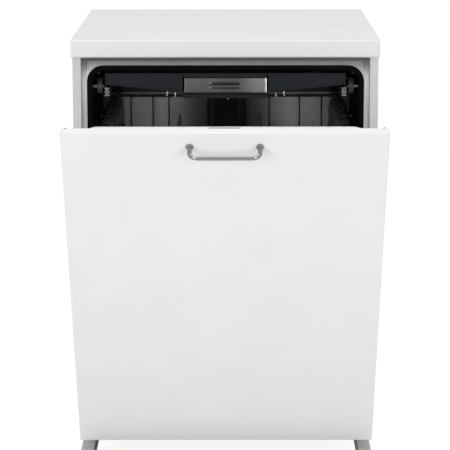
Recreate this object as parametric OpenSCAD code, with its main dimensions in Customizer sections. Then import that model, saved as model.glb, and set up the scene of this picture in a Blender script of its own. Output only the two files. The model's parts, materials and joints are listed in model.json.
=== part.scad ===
// Built-in dishwasher with a furniture front, its door standing ajar.
// X is the width, Y runs from the front to the back, Z is up; the floor is Z = 0.

/* [Cabinet] */
// width over the two side panels
cab_w = 596; // [584:1:608]
// front of the posts to the back panel
cab_d = 560; // [548:1:580]
// height from the floor to the underside of the worktop
cab_h = 880; // [876:1:890]
// thickness of the folded sheet
sheet = 1; // [0.8:0.1:1.4]
// width of the front face of each post
post_w = 16; // [14:0.5:18]
// step from the posts back to the tub flange
post_step = 28; // [26:0.5:30]
// height of the levelling feet
foot_h = 28; // [24:1:34]
// height of the base rails
skid_h = 36; // [28:1:38]

/* [Worktop] */
// width of the worktop
top_w = 598; // [596:1:640]
// depth of the worktop
top_d = 635; // [610:1:650]
// thickness of the worktop
top_t = 35; // [28:1:40]
// how far the worktop stands out past the posts
overhang = 25; // [20:1:35]
// radius of the rolled front edge
edge_r = 4; // [3:0.5:12]

/* [Tub] */
// gap from a side panel's outside in to the tub opening
tub_side = 26; // [25:0.5:33]
// corner radius of the tub opening
tub_r = 32; // [26:1:38]
// gap from the top of the posts down to the tub opening
tub_drop = 21; // [18:1:26]
// gap from the tub's rear wall back to the back panel
tub_clear = 15; // [12:1:24]
// width of the seal ring seen inside the opening
seal_w = 11; // [8:1:12]
// height of the tub floor's front lip above the door's axis
lip_h = 12; // [10:1:16]

/* [Door] */
// how much wider the furniture front is than the body
front_over = 1; // [-4:0.5:2]
// height of the furniture front
front_h = 797; // [780:1:800]
// thickness of the furniture front
front_t = 16; // [15:1:19]
// gap between the front's top edge and the worktop
front_gap = 7; // [5:1:9]
// height of the door's axis
axis_h = 250; // [244:1:256]
// how far the door's axis lies behind the posts' face
axis_y = 12; // [11:0.5:13]
// how far the door stands open at rest, in degrees
door_open = 29.4; // [0:0.1:60]
// depth of the inner door behind its mounting plate
pan_d = 24.5; // [22:0.5:25]
// further depth of the liner's raised field
field_d = 28; // [20:1:30]
// clearance of the inner door in the tub opening
door_gap = 4; // [3:0.5:6]
// height of the control fascia
fascia_h = 64; // [50:1:90]

/* [Handle] */
// distance between the handle's screws
handle_c = 128; // [96:1:160]
// how far the handle stands off the front
handle_off = 33; // [26:1:40]
// diameter of the handle's bar
handle_bar = 8.5; // [7:0.5:12]
// distance of the handle below the front's top edge
handle_down = 31; // [26:1:60]
// diameter of the handle's rosettes
rosette = 15; // [13:0.5:20]

/* [Buttons] */
// length of a button
button_l = 15; // [10:1:20]
// width of a button
button_w = 8; // [6:0.5:9]
// travel of a button
button_travel = 1.6; // [1:0.1:2]
// distance between neighbouring buttons
button_pitch = 34; // [26:1:44]

/* [Cutlery tray] */
// gap from the tub's side to the tray's wings
tray_side = 34; // [32:1:42]
// top of the tray below the tub's top
tray_drop = 19; // [17:1:21]
// depth of the wings at their outer ends
wing_out = 22.5; // [18:0.5:26]
// depth of the wings at their inner ends
wing_in = 38; // [36:0.5:40]
// half the width of the handle plate
grip_x = 81.5; // [70:0.5:90]
// thickness of the tray's walls
tray_wall = 2.5; // [2:0.1:3]
// front to back length of the tray
tray_len = 430; // [380:2:440]
// pitch of the comb slots
comb = 22; // [18:1:30]
// diameter of the guide rollers
roller_d = 30; // [26:1:32]
// width of the guide rollers
roller_w = 10; // [8:0.5:11]

/* [Racks] */
// wire of the rims
rim_wire = 6; // [4:0.2:6.4]
// wire of the baskets
wire = 3.6; // [3:0.2:4]
// wire of the tines
tine_wire = 3; // [2.6:0.2:3.6]
// gap from the tub's side to the upper basket's rim
upper_side = 24; // [23:1:32]
// rim of the upper basket below the tub's top
upper_drop = 122; // [116:1:126]
// depth of the upper basket
upper_h = 130; // [126:2:140]
// how far the upper basket's sides stand in from its rim
flare = 24; // [22:1:26]
// how far the upper basket's front rim dips below its side rims
front_dip = 30; // [24:2:36]
// gap from the tub's side to the lower basket
lower_side = 32; // [30:1:42]
// depth of the lower basket
lower_h = 150; // [120:2:170]
// pitch of the cross wires
wire_pitch = 34; // [28:1:44]
// radius of the wires' corners
wire_bend = 14; // [12:1:16]
// height of the lower basket's tines
tine_h = 78; // [60:2:84]
// height of the upper basket's tines
row_h = 92; // [70:2:94]
// diameter of the lower basket's wheels
wheel_d = 34; // [30:1:36]

/* [Spray arms] */
// length of the lower spray arm
arm_long = 420; // [380:2:430]
// length of the upper spray arm
arm_short = 380; // [360:2:384]
// length of the ceiling spray arm
arm_top = 220; // [160:2:260]
// thickness of a spray arm
arm_t = 12; // [10:0.5:13]
// radial clearance of a spray arm on its hub
arm_fit = 0.3; // [0.25:0.05:0.5]

/* [Fits] */
// radial clearance of the hinge pins in the arms
pin_fit = 0.06; // [0.04:0.01:0.1]
// diameter of the hinge pins
pin_d = 8; // [7:0.5:9]
// gap between parts that move past each other
slip = 0.4; // [0.35:0.05:0.5]
// gap between welded wires as drawn
weld = 0.05; // [0.04:0.01:0.08]

/* [Hidden] */
$fn = 48;
floor_z = axis_h + lip_h;              // top of the tub floor's lip and side ledges
tub_top = cab_h - tub_drop;            // top of the tub opening
tub_x = cab_w / 2 - tub_side;
front_w = cab_w + front_over;
tray_x = tub_x - tray_side;
upper_x = tub_x - upper_side;
lower_x = tub_x - lower_side;
flange_y = post_step;
tub_back = cab_d - tub_clear;          // front face of the tub's rear wall
post_in = cab_w / 2 - post_w;          // inner face of each post
front_z = cab_h - front_gap - front_h; // lower edge of the closed front
front_y = -4 - front_t;                // face of the closed front
plate_t = 1.5;                         // mounting plate behind the front
pan_y = -4 + plate_t;                  // where the inner door starts
door_x = tub_x - door_gap;
door_r = tub_r + door_gap;
door_top = tub_top - 3;                // top edge of the inner door
door_low = axis_h - 8;                 // bottom edge of the inner door
pan_back = pan_y + pan_d;              // rear plane of the inner door
field_y = pan_back + field_d;          // rear plane of the raised field
sweep = sqrt(pow(axis_h - front_z, 2) + pow(axis_y - front_y, 2)) + 1; // reach of the lower edge
notch_z = axis_h - 9;                  // the swinging front stays below this level
notch_y = axis_y + sweep + 5;
base_z = foot_h + skid_h;              // top of the base rails
lip_y = axis_y + 44;                   // front lip of the tub floor
sump_y = flange_y + 270;               // middle of the sump and of the spray arms
sump_z = axis_h - 26;                  // level of the sump's rim
sump_r = 92;
sump_x = 50;                           // the sump lies to the right of the spray arms' axis
well_r = 72;                           // inner radius of the sump's well
filter_x = 85;
filter_r = 34;
neck_x = -150;                         // the softener's filling neck
neck_y = sump_y + 104;
neck_r = 29;
feed_y = tub_back - 16;                // the feed pipe rises through the floor here
feed_r = 11;
upper_rim = tub_top - upper_drop;      // rims and floors of the two baskets
upper_floor = upper_rim - upper_h;
axle_z = floor_z + wheel_d / 2 + 0.1;
lower_floor = axle_z + 16;
lower_rim = lower_floor + lower_h;
rack_front = lip_y + 16;
rack_back = tub_back - 46;
tray_top = tub_top - tray_drop;
tray_front = flange_y + 30;
roller_z = tray_top - 27;
hub_r = 10;                            // hubs that carry the spray arms
upper_arm_z = upper_floor - 34;
lower_arm_z = floor_z - 3;
lever_v = 32;                          // hole for the spring above the door's axis
lever_z = axis_h + 5.5 * sin(door_open) + lever_v * cos(door_open);
spring_end = flange_y + 172;
side_x = upper_x - flare;              // side wires of the upper basket
rail_z = upper_rim - 36;
rail_x = side_x + wire / 2 + 1.2;      // inner edge of the upper rack's outer rails
roller_in = tray_x + 6;                // inner face of the rollers
roller_y = tray_front + 12;
lock_w = 58;
button_y = pan_y + 10;
disp_w = 150;
disp_h = 96;
disp_z = axis_h + 250;
lid_w = 72;
lid_h = 78;
lid_x = -32;
cap_r = 19;
cap_x = 42;
arm_hub = 26;
shelf_z = upper_floor + 70;            // cup shelves
shelf_w = 96;
hinge_x = side_x - wire - weld;        // wires that carry the cup shelves
// lengthwise wires of the upper basket, as shares of its half width
long_xs = [for (f = [-0.93, -0.715, -0.56, 0.42, 0.715, 0.93]) f * side_x];
row_left = -0.375 * side_x;            // rods of the folding tine rows
row_right = 0.245 * side_x;
wheel_ys = [rack_front + 60, rack_back - 70];
fold_y = rack_front + 220;

bar_y = front_y - handle_off;          // centre line of the handle's bar, door closed
bar_z = cab_h - front_gap - handle_down;
// the foremost point of the machine at rest is the handle's bar
rest_front = axis_y + (bar_y - axis_y) * cos(door_open) - (bar_z - axis_h) * sin(door_open)
    - handle_bar / 2;
mid_y = (rest_front + top_d - overhang) / 2;

// ---- frames and shared forms ----

// stands the machine in the middle of its own footprint
module cabinet() {
    translate([0, -mid_y, 0]) children();
}

// turns what is drawn on the closed door to where the door stands
module door() {
    cabinet()
        translate([0, axis_y, axis_h])
            rotate([door_open, 0, 0])
                translate([0, -axis_y, -axis_h])
                    children();
}

// a side-on outline (Y, Z) drawn out along X from x0 to x1
module along_x(x0, x1) {
    translate([x0, 0, 0])
        rotate([90, 0, 90])
            linear_extrude(x1 - x0)
                children();
}

// a front-on outline (X, Z) drawn out along Y from y0 to y1
module along_y(y0, y1) {
    translate([0, y1, 0])
        rotate([90, 0, 0])
            linear_extrude(y1 - y0)
                children();
}

// a plan outline (X, Y) drawn out upward from z0 to z1
module along_z(z0, z1) {
    translate([0, 0, z0])
        linear_extrude(z1 - z0)
            children();
}

module block(lo, hi) {
    translate(lo) cube(hi - lo);
}

module both_sides() {
    children();
    mirror([1, 0, 0]) children();
}

// rectangle with four round corners
module rounded(x0, y0, x1, y1, r) {
    translate([x0 + r, y0]) square([x1 - x0 - 2 * r, y1 - y0]);
    translate([x0, y0 + r]) square([x1 - x0, y1 - y0 - 2 * r]);
    for (x = [x0 + r, x1 - r], y = [y0 + r, y1 - r])
        translate([x, y]) circle(r);
}

// rectangle with its two upper corners rounded
module arch(half, z0, z1, r) {
    translate([-half, z0]) square([2 * half, z1 - r - z0]);
    translate([-half + r, z0]) square([2 * half - 2 * r, z1 - z0]);
    for (x = [-half + r, half - r])
        translate([x, z1 - r]) circle(r);
}

module rod_x(x0, x1, d) {
    translate([x0, 0, 0]) rotate([0, 90, 0]) cylinder(h = x1 - x0, d = d);
}

module rod_y(y0, y1, d) {
    translate([0, y0, 0]) rotate([-90, 0, 0]) cylinder(h = y1 - y0, d = d);
}

// a wire bent to a U in the X-Y plane: half width a, height h, corner radius r
module bent_u(a, h, r, d) {
    rod_x(-a + r, a - r, d);
    both_sides() {
        translate([a - r, r]) rotate([0, 0, -90]) rotate_extrude(angle = 90)
            translate([r, 0]) circle(d = d);
        translate([a, 0]) rod_y(r, h, d);
    }
}

// a closed wire loop in the X-Y plane
module wire_loop(x, y0, y1, r, d) {
    for (y = [y0, y1])
        translate([0, y, 0]) rod_x(-x + r, x - r, d);
    both_sides()
        translate([x, 0, 0]) rod_y(y0 + r, y1 - r, d);
    both_sides() {
        translate([x - r, y0 + r]) rotate([0, 0, -90]) rotate_extrude(angle = 90)
            translate([r, 0]) circle(d = d);
        translate([x - r, y1 - r]) rotate_extrude(angle = 90)
            translate([r, 0]) circle(d = d);
    }
}

// ---- worktop ----

// laminated board, its front edge rolled above and below
module worktop() {
    cabinet() color("white")
        along_x(-top_w / 2, top_w / 2)
            translate([-overhang, cab_h]) {
                translate([edge_r, 0]) square([top_d - edge_r, top_t]);
                translate([0, edge_r]) square([top_d, top_t - 2 * edge_r]);
                for (z = [edge_r, top_t - edge_r]) translate([edge_r, z]) circle(edge_r);
            }
}

// ---- cabinet shell ----

// one folded sheet: side, front face, and the step back to the tub flange
module side_sheet() {
    x = cab_w / 2;
    y = cab_d;
    difference() {
        along_z(foot_h, cab_h)
            polygon([
                [x, y], [x, 0], [post_in, 0], [post_in, post_step],
                [post_in + sheet, post_step], [post_in + sheet, sheet], [x - sheet, sheet],
                [x - sheet, y - sheet], [x - 14, y - sheet], [x - 14, y]
            ]);
        // the lower edge of the front swings in through here
        translate([x - 30, -1, 0]) cube([40, notch_y + 1, notch_z]);
        // the posts' faces end above the hinges
        translate([x - 30, -1, 0]) cube([29 - sheet / 2, post_step + 2, axis_h + 6]);
        // slot in the post's face for the hinge arm's lever
        translate([x - 12.5, -1, axis_h]) cube([6, 4, 46]);
    }
}

module side_panel_left() {
    cabinet() color("lightgray") mirror([1, 0, 0]) side_sheet();
}

module side_panel_right() {
    cabinet() color("lightgray") side_sheet();
}

// pressed back sheet with two stiffening beads and a hose cut-out
module back_panel() {
    x = cab_w / 2 - 15;
    cabinet() color("silver")
        difference() {
            union() {
                along_y(cab_d - sheet, cab_d)
                    translate([-x, base_z]) square([2 * x, cab_h - base_z]);
                for (z = [base_z + 250, base_z + 480])
                    translate([0, cab_d - sheet, z]) rotate([0, 90, 0])
                        cylinder(r = 6, h = 400, center = true);
            }
            translate([-x - 1, cab_d, 0]) cube([2 * x + 2, 20, cab_h]);
            for (z = [base_z + 250, base_z + 480])
                translate([0, cab_d + sheet * 0.2, z]) rotate([0, 90, 0])
                    cylinder(r = 5.4, h = 398, center = true);
            // hoses and the mains lead pass out here
            translate([x - 110, cab_d - 12, 0]) cube([112, 24, base_z + 100]);
        }
}

// front and rear rails that tie the side panels together under the worktop
module cross_rails() {
    x = post_in;
    rail = tub_drop - 12;
    cabinet() color("dimgray") {
        along_x(-x, x)
            polygon([
                [0, cab_h - rail], [sheet, cab_h - rail], [sheet, cab_h - sheet],
                [post_step, cab_h - sheet], [post_step, cab_h], [0, cab_h]
            ]);
        along_x(-x - 1, x + 1)
            polygon([
                [cab_d - 30, cab_h], [cab_d - 30, cab_h - sheet],
                [cab_d - sheet * 2, cab_h - sheet], [cab_d - sheet * 2, cab_h - 22],
                [cab_d - sheet, cab_h - 22], [cab_d - sheet, cab_h]
            ]);
    }
}

// ---- tub ----

// stainless wrap, open below, with a flat front flange that meets the posts
module tub_wrap() {
    cabinet() color("gainsboro") {
        along_y(flange_y + sheet, tub_back)
            difference() {
                arch(tub_x + sheet, notch_z, tub_top + sheet, tub_r + sheet);
                arch(tub_x, notch_z - 1, tub_top, tub_r);
            }
        along_y(flange_y, flange_y + sheet)
            difference() {
                translate([-post_in, notch_z])
                    square([2 * post_in, cab_h - 9 - notch_z]);
                arch(tub_x, notch_z - 1, tub_top, tub_r);
            }
    }
}

// pressed rear wall: raised field with rounded corners inside a plain border
module tub_rear_wall() {
    cabinet() color("silver") {
        difference() {
            along_y(tub_back, tub_back + sheet)
                arch(tub_x + sheet, notch_z, tub_top + sheet, tub_r + sheet);
            along_y(tub_back - 1, tub_back + 3)
                rounded(-tub_x + 40, notch_z + 45, tub_x - 40, tub_top - 45, 30);
            translate([0, tub_back - 1, notch_z + 30]) rod_y(0, 4, 24);
        }
        along_y(tub_back + 2, tub_back + 2 + sheet)
            rounded(-tub_x + 40, notch_z + 45, tub_x - 40, tub_top - 45, 30);
        along_y(tub_back, tub_back + 2 + sheet)
            difference() {
                rounded(-tub_x + 39, notch_z + 44, tub_x - 39, tub_top - 44, 31);
                rounded(-tub_x + 40, notch_z + 45, tub_x - 40, tub_top - 45, 30);
            }
    }
}

// floor pan: flat wheel ledges at the sides, dished between them down to the sump
module tub_floor() {
    t = 1.6;
    ledge = 42;
    dish = sump_z + 12;
    cabinet() color("gainsboro")
        difference() {
            union() {
                both_sides() {
                    block([tub_x - ledge, lip_y, floor_z - t], [tub_x, tub_back, floor_z]);
                    block([tub_x - ledge, lip_y, dish], [tub_x - ledge + t, tub_back, floor_z]);
                }
                // front lip and rear upstand
                along_x(-tub_x + ledge, tub_x - ledge)
                    polygon([
                        [lip_y, floor_z], [lip_y + t, floor_z],
                        [lip_y + t + 4, notch_z + 4 + t], [notch_y + 4, notch_z + 1 + t],
                        [sump_y - sump_r, dish + t], [sump_y + sump_r, dish + t],
                        [tub_back - t, dish + 12], [tub_back - t, floor_z],
                        [tub_back, floor_z], [tub_back, dish + 12 - t],
                        [sump_y + sump_r, dish], [sump_y - sump_r, dish],
                        [notch_y + 4, notch_z + 1], [lip_y + 4, notch_z + 4],
                        [lip_y, notch_z + 6]
                    ]);
                translate([sump_x, sump_y, sump_z]) cylinder(r = sump_r + 6, h = 14);
                // collar round the softener's filling neck
                translate([neck_x, neck_y, dish - 3]) cylinder(r = neck_r + 5, h = 9);
            }
            translate([sump_x, sump_y, sump_z - 1]) cylinder(r = sump_r, h = 40);
            translate([neck_x, neck_y, dish - 20]) cylinder(r = neck_r, h = 60);
            translate([0, feed_y, dish - 20]) cylinder(r = feed_r, h = 80);
        }
}

// bulb seal inside the mouth of the tub, open at the bottom
module door_gasket() {
    y0 = pan_back + slip;
    z0 = floor_z + 2;
    cabinet() color("black")
        difference() {
            along_y(y0, flange_y + 8)
                difference() {
                    arch(tub_x - 0.2, z0, tub_top - 0.2, tub_r - 0.2);
                    arch(tub_x - seal_w, z0 - 1, tub_top - seal_w, tub_r - seal_w);
                }
            // groove that lets the seal's lip bend
            along_y(flange_y + 2, flange_y + 9)
                difference() {
                    arch(tub_x - 3, z0 - 1, tub_top - 3, tub_r - 3);
                    arch(tub_x - seal_w + 2.5, z0 - 2, tub_top - seal_w + 2.5,
                        tub_r - seal_w + 2.5);
                }
        }
}

// ---- base ----

// four folded channels: two side rails and two cross members
module base_frame() {
    x = cab_w / 2 - sheet;
    y0 = 24;
    y1 = cab_d - 16;
    w = 25;
    t = 2;
    cabinet() color("silver") {
        both_sides()
            along_y(y0, y1)
                polygon([
                    [x, foot_h], [x, base_z], [x - w, base_z], [x - w, base_z - t],
                    [x - t, base_z - t], [x - t, foot_h + t], [x - w, foot_h + t],
                    [x - w, foot_h]
                ]);
        for (y = [y0 + 6, y1 - 34])
            along_x(-x + t, x - t)
                polygon([
                    [y, foot_h + t], [y + 28, foot_h + t], [y + 28, foot_h + 2 * t],
                    [y + t, foot_h + 2 * t], [y + t, base_z - t], [y, base_z - t]
                ]);
    }
}

// foot disc, threaded stem and six-sided nut under each corner
module levelling_feet() {
    cabinet() color("dimgray")
        for (sx = [-1, 1], y = [52, cab_d - 52])
            translate([sx * (cab_w / 2 - 22), y, 0]) {
                cylinder(h = 5, d = 38);
                translate([0, 0, 5]) cylinder(h = 3, d1 = 34, d2 = 22);
                cylinder(h = foot_h, d = 10);
                translate([0, 0, foot_h - 6]) cylinder(h = 6, d = 19, $fn = 6);
            }
}

// leak tray: shallow pan whose rim rests on the base rails
module drip_tray() {
    x = cab_w / 2 - sheet - 28;
    y0 = notch_y + 8;
    y1 = cab_d - 56;
    ribs = [y0 + 60, y0 + 130];
    cabinet() color("darkgray")
        difference() {
            union() {
                block([-x, y0, base_z - 14], [x, y1, base_z]);
                block([-x - 20, y0, base_z], [x + 20, y1, base_z + 2.5]);
                for (y = ribs)
                    block([-x, y, base_z - 14], [x, y + 2, base_z - 2]);
            }
            for (bay = [[y0 + 2.5, ribs[0]], [ribs[0] + 2, ribs[1]], [ribs[1] + 2, y1 - 2.5]])
                block([-x + 2.5, bay[0], base_z - 11.5], [x - 2.5, bay[1], base_z + 5]);
        }
}

// ---- water circuit ----

// turned sump bowl with a seat for the filters, and the post that carries the lower arm
module sump_housing() {
    low = base_z + 46;
    cabinet() color("dimgray") {
        difference() {
            translate([sump_x, sump_y, 0]) rotate_extrude()
                polygon([
                    [0, low], [well_r - 2, low], [well_r + 4, low + 7], [well_r + 5, low + 70],
                    [sump_r + 6, sump_z - 12], [sump_r + 6, sump_z], [sump_r - 10, sump_z],
                    [sump_r - 10, sump_z - 4], [sump_r - 1, sump_z - 4],
                    [sump_r - 1, sump_z - 10], [well_r + 1, low + 72], [well_r, low + 11],
                    [well_r - 6, low + 4], [0, low + 4]
                ]);
            // outlets to the two pumps
            translate([sump_x, sump_y, low + 36]) rod_x(-well_r - 8, well_r + 8, 26);
            translate([0, sump_y, low + 60]) rod_y(50, 100, 2 * feed_r);
        }
        // post of the lower arm, with a clip edge above it
        translate([0, sump_y, 0]) {
            translate([0, 0, low + 3]) cylinder(h = lower_arm_z - slip - low - 3, r = hub_r + 4);
            translate([0, 0, low + 3]) cylinder(h = lower_arm_z + arm_t - low, r = hub_r);
            translate([0, 0, lower_arm_z + arm_t + slip]) cylinder(h = 4, r1 = hub_r + 4, r2 = hub_r);
        }
    }
}

// slotted sieve plate, coned toward the coarse filter
module fine_filter() {
    rim = sump_r - 1.5;
    cabinet() color("silver")
        difference() {
            translate([sump_x, sump_y, sump_z]) {
                cylinder(r = rim, h = 2);
                translate([0, 0, 2]) difference() {
                    cylinder(r = rim, h = 3);
                    translate([0, 0, -1]) cylinder(r = rim - 3, h = 5);
                }
            }
            translate([filter_x, sump_y, sump_z - 1]) cylinder(r = filter_r + 1, h = 9);
            translate([0, sump_y, sump_z - 1]) cylinder(r = hub_r + 5, h = 9);
            for (i = [-7:7])
                let (y = i * 9.5, half = sqrt(pow(rim - 8, 2) - y * y))
                    if (abs(y) > filter_r + 3)
                        block([sump_x - half, sump_y + y - 1.4, sump_z - 1],
                            [sump_x + half, sump_y + y + 1.4, sump_z + 9]);
        }
}

// coarse filter: grooved cup with a turning grip on its lid
module coarse_filter() {
    low = base_z + 52;
    cabinet() color("gainsboro")
        translate([filter_x, sump_y, 0])
            difference() {
                union() {
                    translate([0, 0, low + 6]) cylinder(h = sump_z + 8 - low - 6, r = filter_r);
                    translate([0, 0, low]) cylinder(h = 6, r1 = 18, r2 = filter_r);
                    translate([-filter_r + 6, -3, sump_z + 7]) cube([2 * filter_r - 12, 6, 13]);
                    translate([0, 0, sump_z + 7]) cylinder(h = 13, r = 9);
                }
                for (a = [0:20:340])
                    rotate([0, 0, a]) translate([filter_r - 1, -3.5, low + 12])
                        cube([3, 7, sump_z - low - 20]);
                for (a = [45:90:315])
                    rotate([0, 0, a]) translate([20, 0, sump_z]) cylinder(r = 6, h = 20);
            }
}

// motor with end bell, cooling ribs and volute; its inlet joins the sump
module circulation_pump() {
    z = base_z + 82;
    cabinet() color("slategray")
        translate([0, sump_y, z]) {
            rod_x(-230, -104, 74);
            rod_x(-236, -230, 50);
            for (x = [-222:14:-124]) rod_x(x, x + 5, 80);
            rod_x(-104, -62, 92);
            rod_x(-62, sump_x - well_r - 1, 24);
            // outlet socket for the heater's spigot
            translate([-84, 0, -22]) difference() {
                rod_y(-56, -34, 27);
                rod_y(-57, -46, 23);
            }
            // feet down to the leak tray
            for (x = [-210, -90])
                block([x, -16, -z + base_z - 11.5], [x + 12, 16, -34]);
        }
}

// small motor and chamber; its spigot runs back through the rear cut-out
module drain_pump() {
    z = base_z + 82;
    cabinet() color("gray")
        translate([0, sump_y, z]) {
            rod_x(sump_x + well_r + 1, sump_x + 82, 24);
            rod_x(sump_x + 82, sump_x + 108, 58);
            rod_x(sump_x + 108, sump_x + 146, 42);
            translate([sump_x + 95, 24, 0]) rod_y(0, 60, 20);
            translate([sump_x + 95 + 30, 84, 0]) rotate([0, 0, 90])
                rotate_extrude(angle = 90) translate([30, 0]) circle(r = 10);
            translate([0, 114, 0]) rod_x(sump_x + 125, 205, 20);
            translate([205, 144, 0]) rotate([0, 0, -90])
                rotate_extrude(angle = 90) translate([30, 0]) circle(r = 10);
            translate([235, 0, 0]) rod_y(144, cab_d + 24 - sump_y, 20);
            translate([235, 0, 0]) rod_y(cab_d - 6 - sump_y, cab_d + 2 - sump_y, 26);
            block([sump_x + 88, -20, -z + base_z - 11.5], [sump_x + 102, 20, -20]);
        }
}

// flow heater: straight tube with a flanged terminal end, beside the pump
module flow_heater() {
    z = base_z + 60;
    cabinet() color("silver")
        translate([0, sump_y - 78, z]) {
            rod_x(-220, -70, 40);
            rod_x(-226, -220, 48);
            rod_x(-70, -64, 48);
            for (y = [-9, 9]) translate([0, y, 6]) rod_x(-234, -226, 6);
            for (x = [-200, -100])
                block([x, -12, -z + base_z - 11.5], [x + 8, 12, -14]);
            translate([-84, 0, 0]) rod_y(14, 31, 22);
        }
}

// resin and salt tank with its threaded neck up through the tub floor
module water_softener() {
    top = sump_z - 16;
    cabinet() color("whitesmoke") {
        difference() {
            union() {
                along_z(base_z - 11.5, top)
                    rounded(neck_x - 72, neck_y - 50, neck_x + 60, neck_y + 58, 14);
                translate([neck_x, neck_y, top - 1]) cylinder(r = neck_r - 0.5, h = 36);
            }
            translate([neck_x, neck_y, top - 60]) cylinder(r = neck_r - 5, h = 120);
            for (z = [base_z + 20:26:top - 20])
                for (sx = [neck_x - 73, neck_x + 59.2])
                    block([sx, neck_y - 34, z], [sx + 1.8, neck_y + 42, z + 12]);
        }
    }
}

// screw cap with grip ribs, turned to fill the salt
module salt_cap() {
    top = sump_z + 20;
    cabinet() color("white")
        translate([neck_x, neck_y, top]) {
            difference() {
                translate([0, 0, slip]) cylinder(r = neck_r + 3, h = 9);
                for (a = [0:30:330])
                    rotate([0, 0, a]) translate([neck_r + 5, 0, -1]) cylinder(r = 3.4, h = 14);
            }
            translate([-neck_r + 4, -2.5, 8]) cube([2 * neck_r - 8, 5, 6]);
            translate([0, 0, -8]) cylinder(r = neck_r - 5.4, h = 9);
        }
}

// solenoid valve on a bracket; its threaded inlet stub looks out at the back
module inlet_valve() {
    z = base_z + 62;
    x = cab_w / 2 - 35;
    cabinet() color("white")
        translate([x, cab_d, z]) {
            block([-13, -66, -16], [19, -12, 16]);
            translate([0, -40, 16]) cylinder(r = 13, h = 26);
            rod_y(-12, 4, 32);
            rod_y(4, 22, 26.4);
            block([7, -66, -z + base_z + 2.5], [19, -58, -16]);
        }
}

// flat moulded breaker on the left of the tub, with its water channel in relief
module air_gap_chamber() {
    x = -tub_x - sheet;
    cabinet() color("lightgray") {
        difference() {
            block([x - 22, 130, axis_h + 180], [x, 330, axis_h + 470]);
            for (i = [0:3])
                block([x - 23, 146 + (i % 2) * 16, axis_h + 200 + i * 66],
                    [x - 19, 298 + (i % 2) * 16, axis_h + 250 + i * 66]);
        }
        translate([x - 11, 230, axis_h + 100]) cylinder(r = 8, h = 82);
    }
}

// conduit up the rear wall with two edge ribs, a docking port, and the ceiling duct
module spray_feed() {
    w = 42;
    y0 = tub_back - 26;
    port = upper_floor - 16;
    rise = 84;
    cabinet() color("dimgray") {
        difference() {
            union() {
                along_z(floor_z + 1, tub_top - 6.5) {
                    translate([-w + 10, y0]) square([2 * w - 20, 26]);
                    translate([-w, y0 + 6]) square([2 * w, 20]);
                }
                translate([0, y0, port]) rod_y(-14, 1, 44);
                // arch-shaped cover over the port
                along_y(y0 - 4, y0 + 1) {
                    translate([0, port + rise]) circle(r = 28);
                    translate([-28, port]) square([56, rise]);
                }
            }
            translate([0, y0, port]) rod_y(-15, 12, 34);
            along_y(y0 - 5, y0 - 1.5) {
                translate([0, port + rise]) circle(r = 24);
                translate([-24, port + 26]) square([48, rise - 26]);
            }
        }
        // flat duct under the ceiling and the hub of the ceiling arm
        along_z(tub_top - 6.5, tub_top) {
            translate([-24, sump_y]) square([48, tub_back - sump_y]);
            translate([0, sump_y]) circle(r = 24);
        }
        translate([0, sump_y, tub_top - 16.5 + slip]) cylinder(r = hub_r - 3, h = 12);
        translate([0, sump_y, tub_top - 17.6]) cylinder(r = hub_r, h = 1.2);
        translate([0, sump_y, tub_top - 17]) cylinder(r = hub_r - 3, h = 3);
        // pipe from the sump up through the floor
        translate([0, 0, base_z + 106]) rod_y(sump_y + 66, feed_y - 24, 2 * feed_r);
        translate([0, feed_y - 24, base_z + 130]) rotate([0, 90, 0])
            rotate_extrude(angle = 90) translate([24, 0]) circle(r = feed_r);
        translate([0, feed_y, base_z + 130]) cylinder(r = feed_r, h = floor_z + 2 - base_z - 130);
    }
}

// ---- hinges ----

// bracket on each post with its pin, and the spring's anchor on the side panel
module hinge_brackets() {
    x = post_in + sheet;
    r = pin_d / 2 + 7.5;
    cabinet() color("silver") both_sides() {
        along_x(x, x + 3) {
            translate([axis_y, axis_h]) circle(r = r);
            translate([axis_y - 10, axis_h]) square([24, 90]);
            translate([axis_y - 2, axis_h + 60]) square([16, 60]);
        }
        translate([0, axis_y, axis_h]) {
            rod_x(x + 3, x + 8.6, pin_d);
            rod_x(x + 8.6, x + 10, pin_d + 5);
        }
        translate([0, spring_end, lever_z]) rod_x(x + 4, cab_w / 2 - sheet, 6);
    }
}

// strap on the mounting plate that turns on the pin, with a lever for the spring
module hinge_arms() {
    x = post_in + sheet + 4;
    door() color("dimgray") both_sides() {
        difference() {
            along_x(x, x + 3.6) {
                translate([axis_y, axis_h]) circle(r = pin_d / 2 + 7);
                translate([pan_y, axis_h - 62]) square([8, 60]);
                polygon([
                    [pan_y, axis_h - 40], [pan_y, axis_h - 3], [axis_y, axis_h + 9],
                    [axis_y + 10, axis_h - 4]
                ]);
                translate([axis_y + 1, axis_h]) square([9, lever_v]);
                translate([axis_y + 5.5, axis_h + lever_v]) circle(r = 5.5);
            }
            translate([0, axis_y, axis_h]) rod_x(x - 1, x + 5, pin_d + 2 * pin_fit);
            translate([0, axis_y + 5.5, axis_h + lever_v]) rod_x(x - 1, x + 5, 3.4);
        }
        block([x - 24, pan_y, axis_h - 62], [x + 3, pan_y + 2, axis_h - 13]);
    }
}

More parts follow.
